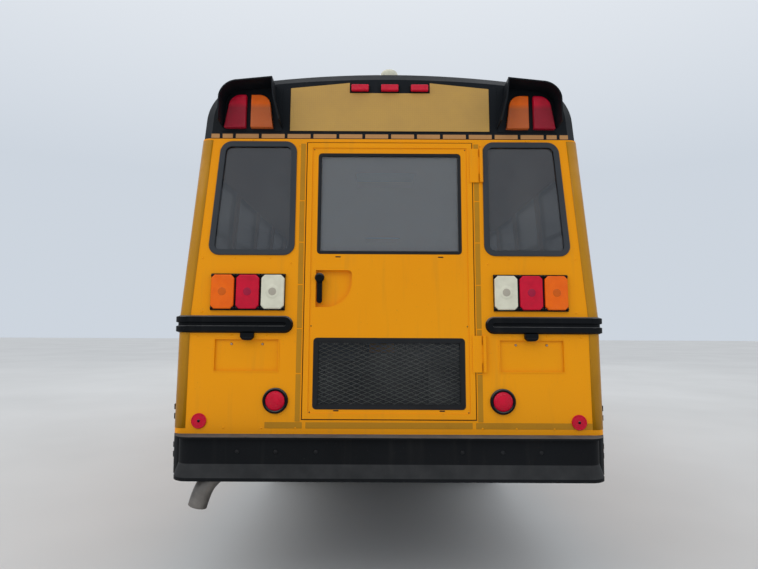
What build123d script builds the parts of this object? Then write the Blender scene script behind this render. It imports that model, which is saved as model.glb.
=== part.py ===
from build123d import *
import math
import os

os.makedirs("parts", exist_ok=True)

# A full-size conventional school bus, in millimetres. +Y is forward, +X is the kerb side,
# +Z is up and the ground is Z = 0. The model is centred on its length and width.

# Whole bus
overall_length = 11200
wheelbase = 7060
front_overhang = 1000
front_y = overall_length / 2
rear_y = -overall_length / 2
front_axle_y = front_y - front_overhang
rear_axle_y = front_axle_y - wheelbase

# Body section
body_half_width = 1219
tumble_inset = 86
eave_half_width = body_half_width - tumble_inset
belt_z = 1620
roof_top_z = 3120
roof_rise = 438
eave_z = roof_top_z - roof_rise
roof_crown_radius = 6300
shoulder_radius = 260
wall = 45
skirt_bottom_z = 700
skirt_sheet = 12
floor_bottom_z = 960
floor_thickness = 40
floor_z = floor_bottom_z + floor_thickness
tumblehome = tumble_inset / (eave_z - belt_z)
tumble_angle = math.degrees(math.atan(tumblehome))

# Rear end: the wall leans forward as it rises
rear_lean = 3.5
rear_wall_depth = 80
cap_depth = 220
end_corner_radius = 55
bumper_projection = 105
bumper_low_z = 720
bumper_high_z = 955
bumper_web_inset = 24
bumper_sheet = 12
lean_rise = math.tan(math.radians(rear_lean))
wall_foot_y = rear_y + bumper_projection - bumper_high_z * lean_rise

# Front end: a bowed windshield wall that leans back above the cowl
cowl_setback = 1800
cowl_y = front_y - cowl_setback
windshield_base_z = 1660
front_lean = 15
front_bow = 120
front_depth = 80
front_setback = front_bow + front_depth

# Side windows
window_pitch = 700
window_post = 75
window_low_z = belt_z + 120
window_high_z = eave_z - 142
window_front_y = cowl_y - 1350
window_rear_margin = 350
window_count = int((window_front_y - rear_y - window_rear_margin) / window_pitch)
driver_window_rear_y = cowl_y - 1240
driver_window_front_y = cowl_y - 500
glass = 6

# Doors
door_gap = 6
door_leaf = 45
entry_front_y = cowl_y - 470
entry_width = 780
entry_low_z = 420
entry_high_z = eave_z - 232
entry_leaf = 30
entry_centre_gap = 36
entry_rear_y = entry_front_y - entry_width

# Wheels
tyre_radius = 520
tyre_half_width = 135
tread_half_width = 115
shoulder_drop = 22
bead_half_width = 100
rim_radius = 286
front_track_half = body_half_width - 209
kingpin_half = front_track_half - 110
dual_outer_x = body_half_width - 167
dual_spacing = 325
dual_inner_x = dual_outer_x - dual_spacing
wheel_z = tyre_radius
rear_arch_radius = 600
running_gap = 0.3


def station(y):
    """Cross plane at y: sketches read X to the right and Z up, extrusions run rearward."""
    return Plane.XZ.offset(-y)


def flank(x):
    """Long plane at x: sketches read Y to the right and Z up, extrusions run to +X."""
    return Plane.YZ.offset(x)


def level(z):
    """Flat plane at height z."""
    return Plane.XY.offset(z)


rear_face = Plane(
    origin=(0, wall_foot_y, 0),
    x_dir=(1, 0, 0),
    z_dir=(0, -math.cos(math.radians(rear_lean)), math.sin(math.radians(rear_lean))),
)


def up_wall(z):
    """Distance up the leaning rear wall to height z."""
    return z / math.cos(math.radians(rear_lean))


def leaning_side(side, depth=0):
    """The tumblehome plane of one side, moved inward by depth; sketches read side*Y and up."""
    angle = math.radians(tumble_angle)
    outward = (side * math.cos(angle), 0, math.sin(angle))
    return Plane(origin=(side * body_half_width, 0, belt_z), x_dir=(0, side, 0), z_dir=outward).offset(-depth)


def up_side(z):
    """Distance from the belt up the tumblehome to height z."""
    return (z - belt_z) / math.cos(math.radians(tumble_angle))


def body_section(inset, low_z):
    """Closed outline of the body, moved inward by inset and open-ended down to low_z."""
    reach = roof_top_z - belt_z
    with BuildSketch() as section:
        with BuildLine():
            Polyline(
                (-body_half_width + inset, low_z),
                (body_half_width - inset, low_z),
                (body_half_width - inset, belt_z),
                (body_half_width - inset - tumblehome * reach, roof_top_z),
                (-body_half_width + inset + tumblehome * reach, roof_top_z),
                (-body_half_width + inset, belt_z),
                close=True,
            )
        make_face()
        with Locations((0, roof_top_z - roof_crown_radius)):
            Circle(roof_crown_radius - inset, mode=Mode.INTERSECT)
        fillet(section.vertices().group_by(Axis.Y)[-1], radius=shoulder_radius - inset)
    return section.sketch


outer_section = body_section(0, skirt_bottom_z)
inner_section = body_section(wall, skirt_bottom_z - wall)


def front_limit(setback):
    """The space behind the bowed front wall, moved rearward by setback."""
    rise = roof_top_z - windshield_base_z + front_bow
    lean = math.radians(front_lean)
    side_reach = body_half_width + wall
    with BuildSketch() as plan:
        with BuildLine():
            ThreePointArc(
                (-side_reach, cowl_y - front_bow - setback),
                (0, cowl_y - setback),
                (side_reach, cowl_y - front_bow - setback),
            )
            Polyline(
                (side_reach, cowl_y - front_bow - setback),
                (side_reach, rear_y),
                (-side_reach, rear_y),
                (-side_reach, cowl_y - front_bow - setback),
            )
        make_face()
    with BuildPart() as limit:
        with BuildSketch(level(entry_low_z)):
            add(plan.sketch)
        extrude(amount=windshield_base_z - entry_low_z)
        with BuildSketch(level(windshield_base_z)):
            add(plan.sketch)
        extrude(amount=rise / math.cos(lean), dir=(0, -math.sin(lean), math.cos(lean)))
    return limit.part


behind_front = front_limit(0)
behind_frame = front_limit(front_depth)
behind_cap = front_limit(cap_depth)
behind_panel = front_limit(wall)
body_run = cowl_y - rear_y

# Hinges: two fixed barrels with a pin, and a moving barrel between them on a raised strap
hinge_pin = 5
hinge_barrel = 10
hinge_offset = 14
hinge_plate = 5
hinge_reach = 48
hinge_height = 160
barrel_clearance = 6


def fixed_hinge(middle, length=hinge_height, reach=hinge_reach):
    """The half that stays: seated at -hinge_offset on the local Y axis, reaching along local X."""
    quarter = length / 4
    with BuildPart() as half:
        with BuildSketch(middle.offset(-2 * quarter)):
            Circle(hinge_pin)
        extrude(amount=length)
        for start in (-2 * quarter, quarter + running_gap):
            with BuildSketch(middle.offset(start)):
                Circle(hinge_barrel)
                with Locations((hinge_barrel / 2, -hinge_offset / 2)):
                    Rectangle(hinge_barrel, hinge_offset)
                with Locations((reach / 2, -hinge_offset + hinge_plate / 2)):
                    Rectangle(reach, hinge_plate)
            extrude(amount=quarter - running_gap)
    return half.part


def moving_hinge(middle, edge, length=hinge_height, reach=hinge_reach):
    """The half that swings: a barrel and a raised plate back to a pad on the leaf, whose edge is at -edge."""
    quarter = length / 4
    strap_low = -hinge_offset + hinge_plate
    plate_edge = hinge_barrel + barrel_clearance
    with BuildPart() as half:
        with BuildSketch(middle.offset(-2 * quarter)):
            with Locations((-(edge + reach + plate_edge) / 2, strap_low + hinge_plate / 2)):
                Rectangle(edge + reach - plate_edge, hinge_plate)
            with Locations((-edge - reach / 2, strap_low - hinge_plate / 2)):
                Rectangle(reach, hinge_plate)
        extrude(amount=length)
        with BuildSketch(middle.offset(-quarter + running_gap)):
            Circle(hinge_barrel)
            with Locations((-plate_edge / 2, strap_low + hinge_plate / 2)):
                Rectangle(plate_edge, hinge_plate)
            Circle(hinge_pin + running_gap, mode=Mode.SUBTRACT)
        extrude(amount=2 * (quarter - running_gap))
    return half.part


entry_pin_x = body_half_width + hinge_offset
entry_pin_gap = 26
entry_hinge_z = 1110
entry_hinge_height = 700
entry_edges = {
    # leaf: hinge edge y, direction from the leaf to its hinge
    "front": (entry_front_y - door_gap, 1),
    "rear": (entry_rear_y + door_gap, -1),
}


def entry_hinge_plane(edge_y, away):
    """Cross plane of an entrance hinge: X away from the leaf, Y out of the body."""
    pin_y = edge_y + away * entry_pin_gap
    return Plane(origin=(entry_pin_x, pin_y, entry_hinge_z), x_dir=(0, away, 0), z_dir=(0, 0, -away))


# Stop arm place and hinge: the pin stands clear of the flank and its rub rail
arm_offset = 45
arm_gap = 30
arm_pin_y = driver_window_rear_y + 80
arm_z = 1300
arm_across = 450
arm_thickness = 8
arm_sides = 8
arm_hinge_plane = Plane(
    origin=(-body_half_width - arm_offset, arm_pin_y, arm_z), x_dir=(0, 1, 0), z_dir=(0, 0, 1)
)


# Side walls, each with eleven window openings, the driver's window or the entrance, and an arch
window_width = window_pitch - window_post
window_mid = up_side((window_low_z + window_high_z) / 2)
window_rise = up_side(window_high_z) - up_side(window_low_z)
window_mid_ys = [window_front_y - window_pitch * (i + 0.5) for i in range(window_count)]
driver_window_width = driver_window_front_y - driver_window_rear_y
driver_window_mid_y = (driver_window_front_y + driver_window_rear_y) / 2
wall_names = {-1: "left_side_wall", 1: "right_side_wall"}

for side, wall_name in wall_names.items():
    with BuildPart() as side_wall:
        with BuildSketch(station(cowl_y)):
            add(outer_section)
            add(inner_section, mode=Mode.SUBTRACT)
            with Locations((0, (skirt_bottom_z + floor_bottom_z) / 2)):
                Rectangle(
                    2 * (body_half_width - skirt_sheet),
                    floor_bottom_z - skirt_bottom_z,
                    mode=Mode.SUBTRACT,
                )
            with Locations((side * body_half_width / 2, (skirt_bottom_z + eave_z) / 2)):
                Rectangle(body_half_width, eave_z - skirt_bottom_z, mode=Mode.INTERSECT)
        extrude(amount=body_run)
        add(behind_frame, mode=Mode.INTERSECT)
        split(bisect_by=rear_face.offset(-rear_wall_depth), keep=Keep.BOTTOM)
        with BuildSketch(leaning_side(side, -wall)):
            with Locations(*[(side * y, window_mid) for y in window_mid_ys]):
                Rectangle(window_width, window_rise)
        extrude(amount=-3 * wall, mode=Mode.SUBTRACT)
        with BuildSketch(flank(side * (body_half_width - 3 * wall))):
            with Locations((rear_axle_y, wheel_z)):
                Circle(rear_arch_radius)
        extrude(amount=side * 4 * wall, mode=Mode.SUBTRACT)
        if side > 0:
            with BuildSketch(flank(eave_half_width - 2 * wall)):
                with Locations((entry_front_y - entry_width / 2, (entry_low_z + entry_high_z) / 2)):
                    Rectangle(entry_width, entry_high_z - entry_low_z)
            extrude(amount=6 * wall, mode=Mode.SUBTRACT)
            for edge_y, away in entry_edges.values():
                add(fixed_hinge(entry_hinge_plane(edge_y, away), entry_hinge_height))
        else:
            with BuildSketch(leaning_side(side, -wall)):
                with Locations((side * driver_window_mid_y, window_mid)):
                    Rectangle(driver_window_width, window_rise)
            extrude(amount=-3 * wall, mode=Mode.SUBTRACT)
            for start in (-arm_across / 3, arm_across / 6 + running_gap):
                with BuildSketch(arm_hinge_plane.offset(start)):
                    Circle(hinge_barrel)
                    with Locations((0, -arm_offset / 2)):
                        Rectangle(2 * hinge_barrel, arm_offset)
                extrude(amount=arm_across / 6 - running_gap)
            with BuildSketch(arm_hinge_plane.offset(-arm_across / 3)):
                Circle(hinge_pin)
            extrude(amount=2 * arm_across / 3)
    side_wall.part.label = wall_name
    export_step(side_wall.part, f"parts/{wall_name}.step")

# Roof: the curved shell above the drip rail, with two hatch openings
hatch_size = 600
hatch_ys = {"front_hatch": cowl_y - 2600, "rear_hatch": rear_y + 2700}
hatch_curb = 20
hatch_lap = 30
hatch_lid = 30
hatch_lid_z = roof_top_z + hatch_curb + running_gap
hatch_edge = 15
hatch_block_y = hatch_size / 2 + hatch_lap + hatch_edge


def hatch_hinge_plane(y):
    """Cross plane of a hatch hinge: X away from the lid, Y up out of the roof."""
    pin = (0, y + hatch_block_y, hatch_lid_z + hatch_lid + hinge_offset)
    return Plane(origin=pin, x_dir=(0, 1, 0), z_dir=(1, 0, 0))


with BuildPart() as roof_panel:
    with BuildSketch(station(cowl_y)):
        add(outer_section)
        add(inner_section, mode=Mode.SUBTRACT)
        with Locations((0, (eave_z + roof_top_z) / 2)):
            Rectangle(2 * body_half_width, roof_top_z - eave_z, mode=Mode.INTERSECT)
    extrude(amount=body_run)
    add(behind_cap, mode=Mode.INTERSECT)
    split(bisect_by=rear_face.offset(-cap_depth), keep=Keep.BOTTOM)
    with BuildSketch(level(eave_z)):
        with Locations(*[(0, y) for y in hatch_ys.values()]):
            Rectangle(hatch_size, hatch_size)
    extrude(amount=2 * (roof_top_z - eave_z), mode=Mode.SUBTRACT)
    for y in hatch_ys.values():
        with BuildSketch(level(roof_top_z - hatch_curb)):
            with Locations((0, y)):
                Rectangle(hatch_size + 2 * hatch_curb, hatch_size + 2 * hatch_curb)
                Rectangle(hatch_size, hatch_size, mode=Mode.SUBTRACT)
        extrude(amount=2 * hatch_curb)
        with BuildSketch(level(roof_top_z - hatch_curb)):
            with Locations((0, y + hatch_block_y + hinge_reach / 2)):
                Rectangle(hinge_height, hinge_reach)
        extrude(amount=hatch_lid_z + hatch_lid - roof_top_z + hatch_curb)
        add(fixed_hinge(hatch_hinge_plane(y)))
roof_panel.part.label = "roof_panel"
export_step(roof_panel.part, "parts/roof_panel.step")

# Rear wall: a pan with rounded corners, cut for the emergency door, two windows and plate recesses
door_half_width = 490
door_low_z = bumper_high_z + 83
door_high_z = eave_z - 26
door_hinge_height = 208
door_hinge_edge = 55
door_hinge_lap = 14
door_hinge_margin = 34
door_pin_x = door_half_width + door_hinge_edge
door_hinge_zs = (1404, door_high_z - door_hinge_margin - door_hinge_height / 2)
rear_window_low_z = belt_z + 372
rear_window_high_z = eave_z - 37
rear_window_inner_x = 575
rear_window_low_x = body_half_width - 176
rear_window_high_x = eave_half_width - 143
rear_window_radius = 50
plate_x = 816
plate_z = 1393
plate_width = 372
plate_height = 186
plate_depth = 10


def rear_window(side, grow):
    """One rear side window's outline, taller at its inner edge, grown by a margin."""
    with BuildSketch() as outline:
        Polygon(
            (side * (rear_window_inner_x - grow), up_wall(rear_window_low_z - grow)),
            (side * (rear_window_low_x + grow), up_wall(rear_window_low_z - grow)),
            (side * (rear_window_high_x + grow), up_wall(rear_window_high_z + grow)),
            (side * (rear_window_inner_x - grow), up_wall(rear_window_high_z + grow)),
        )
        fillet(outline.vertices(), radius=rear_window_radius + grow)
    return outline.sketch


rear_windows = {side: rear_window(side, 0) for side in (-1, 1)}


def door_hinge_plane(z):
    """Cross plane of an emergency-door hinge: X away from the leaf, Y out of the wall."""
    pin = rear_face.from_local_coords((door_pin_x, up_wall(z), hinge_offset))
    return Plane(origin=pin, x_dir=(1, 0, 0), z_dir=-rear_face.y_dir)


rear_blank_front_y = rear_y + body_run / 10

with BuildPart() as rear_blank:
    with BuildSketch(station(rear_blank_front_y)):
        add(outer_section)
    extrude(amount=body_run / 5)
    split(bisect_by=rear_face, keep=Keep.BOTTOM)

with BuildPart() as rear_hollow:
    with BuildSketch(station(rear_blank_front_y)):
        add(inner_section)
    extrude(amount=body_run / 5)
    split(bisect_by=rear_face.offset(-wall), keep=Keep.BOTTOM)

with BuildPart() as rear_form:
    add(rear_blank.part)
    split(bisect_by=rear_face.offset(-rear_wall_depth), keep=Keep.TOP)
    split(bisect_by=level(eave_z), keep=Keep.BOTTOM)
    split(bisect_by=level(bumper_high_z), keep=Keep.TOP)
    rim_edges = [
        e for e in rear_form.edges()
        if abs(e.center().X) > eave_half_width and abs(rear_face.to_local_coords(e.center()).Z) < 1
    ]
    fillet(rim_edges, radius=end_corner_radius)

with BuildPart() as rear_wall:
    add(rear_form.part)
    add(rear_hollow.part, mode=Mode.SUBTRACT)
    with BuildSketch(rear_face):
        with Locations((0, up_wall((door_low_z + door_high_z) / 2))):
            Rectangle(2 * (door_half_width + door_gap), up_wall(door_high_z - door_low_z) + 2 * door_gap)
        for window_outline in rear_windows.values():
            add(window_outline)
    extrude(amount=-2 * wall, mode=Mode.SUBTRACT)
    with BuildSketch(rear_face):
        with Locations((-plate_x, up_wall(plate_z)), (plate_x, up_wall(plate_z))):
            Rectangle(plate_width, plate_height)
    extrude(amount=-plate_depth, mode=Mode.SUBTRACT)
    for z in door_hinge_zs:
        add(fixed_hinge(door_hinge_plane(z), door_hinge_height, hinge_barrel))
rear_wall.part.label = "rear_wall"
export_step(rear_wall.part, "parts/rear_wall.step")

# Rear cap: the dark moulding above the wall, with a sign panel and a hooded pod for each lamp pair
sign_half_width = 602
sign_low_z = eave_z + 46
sign_end_z = roof_top_z - 116
sign_notch_z = roof_top_z - 146
sign_peak_z = roof_top_z - 80
sign_notch_half = 240
sign_proud = 4
crown_bevel = 60
pod_inner_x = eave_half_width - 483
pod_outer_x = eave_half_width - 121
pod_low_z = eave_z + 45
pod_shoulder = (eave_half_width - 131, roof_top_z - 224)
pod_crown = (eave_half_width - 236, roof_top_z - 130)
pod_peak = (eave_half_width - 436, roof_top_z - 109)
pod_neck = (eave_half_width - 447, roof_top_z - 220)
pod_arch_radius = 110
visor_reach = 130
visor_sheet = 8
visor_outer_foot = (eave_half_width - 129, eave_z + 70)
visor_inner_foot = (eave_half_width - 485, eave_z + 68)

with BuildPart() as rear_cap:
    add(rear_blank.part)
    split(bisect_by=rear_face.offset(-cap_depth), keep=Keep.TOP)
    split(bisect_by=level(eave_z), keep=Keep.TOP)
    crown_edges = [
        e for e in rear_cap.edges()
        if e.center().Z > eave_z + 1 and abs(rear_face.to_local_coords(e.center()).Z) < 1
    ]
    chamfer(crown_edges, length=crown_bevel)
    add(rear_hollow.part, mode=Mode.SUBTRACT)
    with BuildSketch(rear_face):
        with BuildLine():
            right_half = Polyline(
                (0, up_wall(sign_low_z)),
                (sign_half_width, up_wall(sign_low_z)),
                (sign_half_width, up_wall(sign_end_z)),
                (sign_notch_half, up_wall(sign_peak_z)),
                (sign_notch_half, up_wall(sign_notch_z)),
                (0, up_wall(sign_notch_z)),
            )
            mirror(right_half, about=Plane.YZ)
        make_face()
    extrude(amount=sign_proud)
    for side in (-1, 1):
        outer_foot, shoulder, crown, peak, neck, inner_foot = [
            (side * x, up_wall(z))
            for x, z in (visor_outer_foot, pod_shoulder, pod_crown, pod_peak, pod_neck, visor_inner_foot)
        ]
        with BuildSketch(rear_face):
            with BuildLine():
                Polyline(
                    (side * pod_inner_x, up_wall(pod_low_z)),
                    (side * pod_outer_x, up_wall(pod_low_z)),
                    shoulder,
                )
                RadiusArc(shoulder, crown, -side * pod_arch_radius)
                Polyline(
                    crown,
                    peak,
                    (side * pod_inner_x, up_wall(sign_end_z)),
                    (side * pod_inner_x, up_wall(pod_low_z)),
                )
            make_face()
        extrude(amount=sign_proud)
        with BuildSketch(rear_face):
            with BuildLine():
                Line(outer_foot, shoulder)
                RadiusArc(shoulder, crown, -side * pod_arch_radius)
                Polyline(crown, peak, neck, inner_foot)
            trace(line_width=visor_sheet)
        extrude(amount=visor_reach)
rear_cap.part.label = "rear_cap"
export_step(rear_cap.part, "parts/rear_cap.step")

# Front frame: the bowed wall round the two windshield panes, down to the floor
windshield_low_z = 1700
windshield_high_z = eave_z - 182
windshield_inner_x = 35
windshield_low_x = body_half_width - 109
windshield_high_x = eave_half_width - 83
windshield_radius = 60

with BuildPart() as front_blank:
    with BuildSketch(station(cowl_y)):
        add(outer_section)
    extrude(amount=body_run / 5)
    add(behind_front, mode=Mode.INTERSECT)

with BuildPart() as front_hollow:
    with BuildSketch(station(cowl_y)):
        add(inner_section)
    extrude(amount=body_run / 5)
    add(behind_panel, mode=Mode.INTERSECT)

with BuildSketch(station(cowl_y)) as windshield_outlines:
    for side in (-1, 1):
        with BuildSketch(mode=Mode.PRIVATE) as pane_outline:
            Polygon(
                (side * windshield_inner_x, windshield_low_z),
                (side * windshield_low_x, windshield_low_z),
                (side * windshield_high_x, windshield_high_z),
                (side * windshield_inner_x, windshield_high_z),
            )
            fillet(pane_outline.vertices(), radius=windshield_radius)
        add(pane_outline.sketch)

with BuildPart() as front_frame:
    add(front_blank.part)
    add(behind_frame, mode=Mode.SUBTRACT)
    split(bisect_by=level(eave_z), keep=Keep.BOTTOM)
    split(bisect_by=level(floor_bottom_z), keep=Keep.TOP)
    add(front_hollow.part, mode=Mode.SUBTRACT)
    extrude(windshield_outlines.sketch, amount=front_setback * 3, mode=Mode.SUBTRACT)
front_frame.part.label = "front_frame"
export_step(front_frame.part, "parts/front_frame.step")

# Front cap: closes the roof above the windshield
with BuildPart() as front_cap:
    add(front_blank.part)
    add(behind_cap, mode=Mode.SUBTRACT)
    split(bisect_by=level(eave_z), keep=Keep.TOP)
    add(front_hollow.part, mode=Mode.SUBTRACT)
front_cap.part.label = "front_cap"
export_step(front_cap.part, "parts/front_cap.step")

# Glass that does not open: side panes, driver's window, rear side panes and the windshield
with BuildPart() as windshield:
    extrude(windshield_outlines.sketch, amount=front_setback * 3)
    add(front_limit(wall - glass), mode=Mode.INTERSECT)
    add(behind_panel, mode=Mode.SUBTRACT)
windshield.part.label = "windshield"
export_step(windshield.part, "parts/windshield.step")

pane_depth = wall / 2
rear_pane_depth = 8

with BuildPart() as body_glass:
    for side in (-1, 1):
        with BuildSketch(leaning_side(side, pane_depth)):
            with Locations(*[(side * y, window_mid) for y in window_mid_ys]):
                Rectangle(window_width, window_rise)
        extrude(amount=-glass)
    with BuildSketch(leaning_side(-1, pane_depth)):
        with Locations((-driver_window_mid_y, window_mid)):
            Rectangle(driver_window_width, window_rise)
    extrude(amount=-glass)
    with BuildSketch(rear_face.offset(-rear_pane_depth)):
        for window_outline in rear_windows.values():
            add(window_outline)
    extrude(amount=-glass)
body_glass.part.label = "body_glass"
export_step(body_glass.part, "parts/body_glass.step")

# Window sashes: the frame and split rail of each side window, seated outside its pane
sash_bar = 32
sash_depth = 16
sash_split = 0.56

with BuildPart() as window_sashes:
    for side in (-1, 1):
        with BuildSketch(leaning_side(side, pane_depth - sash_depth)):
            frames = [(side * y, window_mid) for y in window_mid_ys]
            with Locations(*frames):
                Rectangle(window_width, window_rise)
            with Locations(*frames):
                Rectangle(window_width - 2 * sash_bar, window_rise - 2 * sash_bar, mode=Mode.SUBTRACT)
            with Locations(*[(x, up_side(window_low_z) + sash_split * window_rise) for x, _ in frames]):
                Rectangle(window_width, sash_bar)
        extrude(amount=-sash_depth)
window_sashes.part.label = "window_sashes"
export_step(window_sashes.part, "parts/window_sashes.step")

# Floor: a flat deck on cross sills, cut and boxed over the rear wheels
deck_half_width = body_half_width - wall
deck_front_y = cowl_y - front_setback - front_bow
deck_rear_y = wall_foot_y
sill_count = 12
sill_width = 60
sill_height = 66
box_half_length = 640
box_inner_x = dual_inner_x - 147
box_top_z = 1170
box_sheet = 8
sill_rear_margin = 250
sill_front_margin = 150
sill_rear_y = deck_rear_y + sill_rear_margin
sill_pitch = (deck_front_y - sill_front_margin - sill_rear_y) / (sill_count - 1)
well_depth_x = 560

with BuildPart() as floor:
    with BuildSketch(level(floor_bottom_z)):
        with Locations((0, (deck_front_y + deck_rear_y) / 2)):
            Rectangle(2 * deck_half_width, deck_front_y - deck_rear_y)
        for side in (-1, 1):
            with Locations((side * (deck_half_width + box_inner_x) / 2, rear_axle_y)):
                Rectangle(deck_half_width - box_inner_x, 2 * box_half_length, mode=Mode.SUBTRACT)
        with Locations((deck_half_width - well_depth_x / 2, (entry_rear_y + entry_front_y) / 2)):
            Rectangle(well_depth_x, entry_width, mode=Mode.SUBTRACT)
    extrude(amount=floor_thickness)
    split(bisect_by=rear_face.offset(-rear_wall_depth), keep=Keep.BOTTOM)
    for side in (-1, 1):
        with BuildSketch(level(floor_bottom_z)):
            with Locations((side * (deck_half_width + box_inner_x) / 2, rear_axle_y)):
                Rectangle(deck_half_width - box_inner_x, 2 * box_half_length)
        extrude(amount=box_top_z - floor_bottom_z)
        with BuildSketch(level(floor_bottom_z)):
            with Locations((side * (deck_half_width + box_inner_x + box_sheet) / 2, rear_axle_y)):
                Rectangle(deck_half_width - box_inner_x - box_sheet, 2 * (box_half_length - box_sheet))
        extrude(amount=box_top_z - floor_bottom_z - box_sheet, mode=Mode.SUBTRACT)
    with BuildSketch(level(floor_bottom_z - sill_height)):
        for i in range(sill_count):
            sill_y = sill_rear_y + i * sill_pitch
            over_wheels = abs(sill_y - rear_axle_y) < box_half_length + sill_width
            by_step = entry_rear_y - sill_width < sill_y < entry_front_y + sill_width
            with Locations((0, sill_y)):
                Rectangle(2 * (box_inner_x if over_wheels or by_step else deck_half_width), sill_width)
    extrude(amount=sill_height)
floor.part.label = "floor"
export_step(floor.part, "parts/floor.step")

# Step well: two treads and their sheet walls inside the entrance
tread_count = 3
well_sheet = 6
well_inner_x = deck_half_width - well_depth_x
well_outer_x = body_half_width - wall
tread_rise = (floor_z - entry_low_z) / tread_count
tread_depth = well_depth_x / (tread_count - 1)

with BuildPart() as step_well:
    with BuildSketch(station(entry_front_y)):
        stair = [(well_outer_x, entry_low_z)]
        for i in range(tread_count - 1):
            x = well_outer_x - (i + 1) * tread_depth
            z = entry_low_z + i * tread_rise
            riser_top_z = floor_bottom_z if i == tread_count - 2 else z + tread_rise
            stair += [(x, z), (x, riser_top_z)]
        inner = [(x + well_sheet, z + well_sheet) for x, z in reversed(stair[1:])]
        Polygon(*stair, *inner, (well_outer_x, entry_low_z + well_sheet))
    extrude(amount=entry_width)
    for end_y in (entry_front_y, entry_rear_y + well_sheet):
        with BuildSketch(station(end_y)):
            with Locations(((well_inner_x + well_outer_x) / 2, (entry_low_z + floor_bottom_z) / 2)):
                Rectangle(well_depth_x, floor_bottom_z - entry_low_z)
        extrude(amount=well_sheet)
step_well.part.label = "step_well"
export_step(step_well.part, "parts/step_well.step")

# Frame rails: two channels from bumper to bumper with channel cross members
rail_outer_x = 430
rail_depth = 254
rail_flange = 76
rail_sheet = 10
rail_top_z = floor_bottom_z - sill_height
rail_low_z = rail_top_z - rail_depth
rail_front_y = front_y - bumper_web_inset - bumper_sheet
rail_rear_y = rear_y + bumper_web_inset + bumper_sheet
rail_nose_z = 715
rail_notch_y = front_y - 300
hood_pivot_y = front_y - 205
hood_pivot_z = 800
pivot_sheet = 16
pivot_ear_x = rail_outer_x - pivot_sheet
pivot_lug = 50
pivot_pin = 12
pivot_gap = 5
cross_member_ys = (
    *[front_axle_y + run for run in (600, -1700, -2700, -4000)],
    *[rear_axle_y + run for run in (1760, 760, -740)],
    *[rear_y + run for run in (1300, 450)],
)
cross_member_height = 60

with BuildPart() as frame_rails:
    for side in (-1, 1):
        with BuildSketch(station(rail_front_y)):
            with Locations((side * (rail_outer_x - rail_flange / 2), rail_top_z - rail_depth / 2)):
                Rectangle(rail_flange, rail_depth)
            with Locations((side * (rail_outer_x - rail_flange / 2 - rail_sheet), rail_top_z - rail_depth / 2)):
                Rectangle(rail_flange, rail_depth - 2 * rail_sheet, mode=Mode.SUBTRACT)
        extrude(amount=rail_front_y - rail_rear_y)
    for y in cross_member_ys:
        with BuildSketch(station(y)):
            with Locations((0, rail_top_z - rail_sheet - cross_member_height / 2)):
                Rectangle(2 * (rail_outer_x - rail_sheet), cross_member_height)
        extrude(amount=rail_sheet)
    with BuildSketch(level(rail_nose_z)):
        with Locations((0, front_y)):
            Rectangle(2 * body_half_width, 2 * (front_y - rail_notch_y))
    extrude(amount=rail_depth, mode=Mode.SUBTRACT)
    for side in (-1, 1):
        with BuildSketch(flank(side * pivot_ear_x)):
            with Locations((hood_pivot_y, (rail_nose_z + hood_pivot_z) / 2)):
                Rectangle(pivot_lug, hood_pivot_z - rail_nose_z)
            with Locations((hood_pivot_y, hood_pivot_z)):
                Circle(pivot_lug / 2)
        extrude(amount=side * pivot_sheet)
        with BuildSketch(flank(side * pivot_ear_x)):
            with Locations((hood_pivot_y, hood_pivot_z)):
                Circle(pivot_pin)
        extrude(amount=side * 3 * pivot_sheet)
frame_rails.part.label = "frame_rails"
export_step(frame_rails.part, "parts/frame_rails.step")

# Bumpers: a top lip, an upright web set in behind it and a lower edge that flares out and rolls under
bumper_half_width = body_half_width - 25
bumper_lip = 10
bumper_flare = 88
bumper_roll = 18
bumper_wrap = 165
bumper_corner = 100
front_bumper_low_z = 470


def bumper_plan(end, inset):
    """Plan outline of a bumper at one end of the bus, moved in by inset."""
    with BuildSketch() as plan:
        with Locations((0, end * (front_y - bumper_wrap / 2 - inset / 2))):
            Rectangle(2 * (bumper_half_width - inset), bumper_wrap - inset)
        corners = plan.vertices().sort_by(Axis.Y)
        fillet(corners[-2:] if end > 0 else corners[:2], radius=bumper_corner - inset)
    return plan.sketch


def bumper_shell(end, low_z):
    """A hollow pressed bumper whose lower edge is at low_z."""
    high_z = low_z + bumper_high_z - bumper_low_z
    web_low_z = low_z + bumper_flare
    with BuildPart() as shell:
        with BuildSketch(level(low_z)):
            add(bumper_plan(end, 0))
        extrude(amount=bumper_roll)
        with BuildSketch(level(low_z + bumper_roll)):
            add(bumper_plan(end, 0))
        with BuildSketch(level(web_low_z)):
            add(bumper_plan(end, bumper_web_inset))
        loft(ruled=True)
        with BuildSketch(level(web_low_z)):
            add(bumper_plan(end, bumper_web_inset))
        extrude(amount=high_z - bumper_lip - web_low_z)
        with BuildSketch(level(high_z - bumper_lip)):
            add(bumper_plan(end, 0))
        extrude(amount=bumper_lip)
        with BuildSketch(level(low_z)):
            add(bumper_plan(end, bumper_web_inset + bumper_sheet))
        extrude(amount=high_z - bumper_lip - low_z, mode=Mode.SUBTRACT)
    return shell.part


with BuildPart() as rear_bumper:
    add(bumper_shell(-1, bumper_low_z))
rear_bumper.part.label = "rear_bumper"
export_step(rear_bumper.part, "parts/rear_bumper.step")

plate_hole_spacing = 178
plate_hole_radius = 3.5
plate_hole_z = 620

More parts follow.
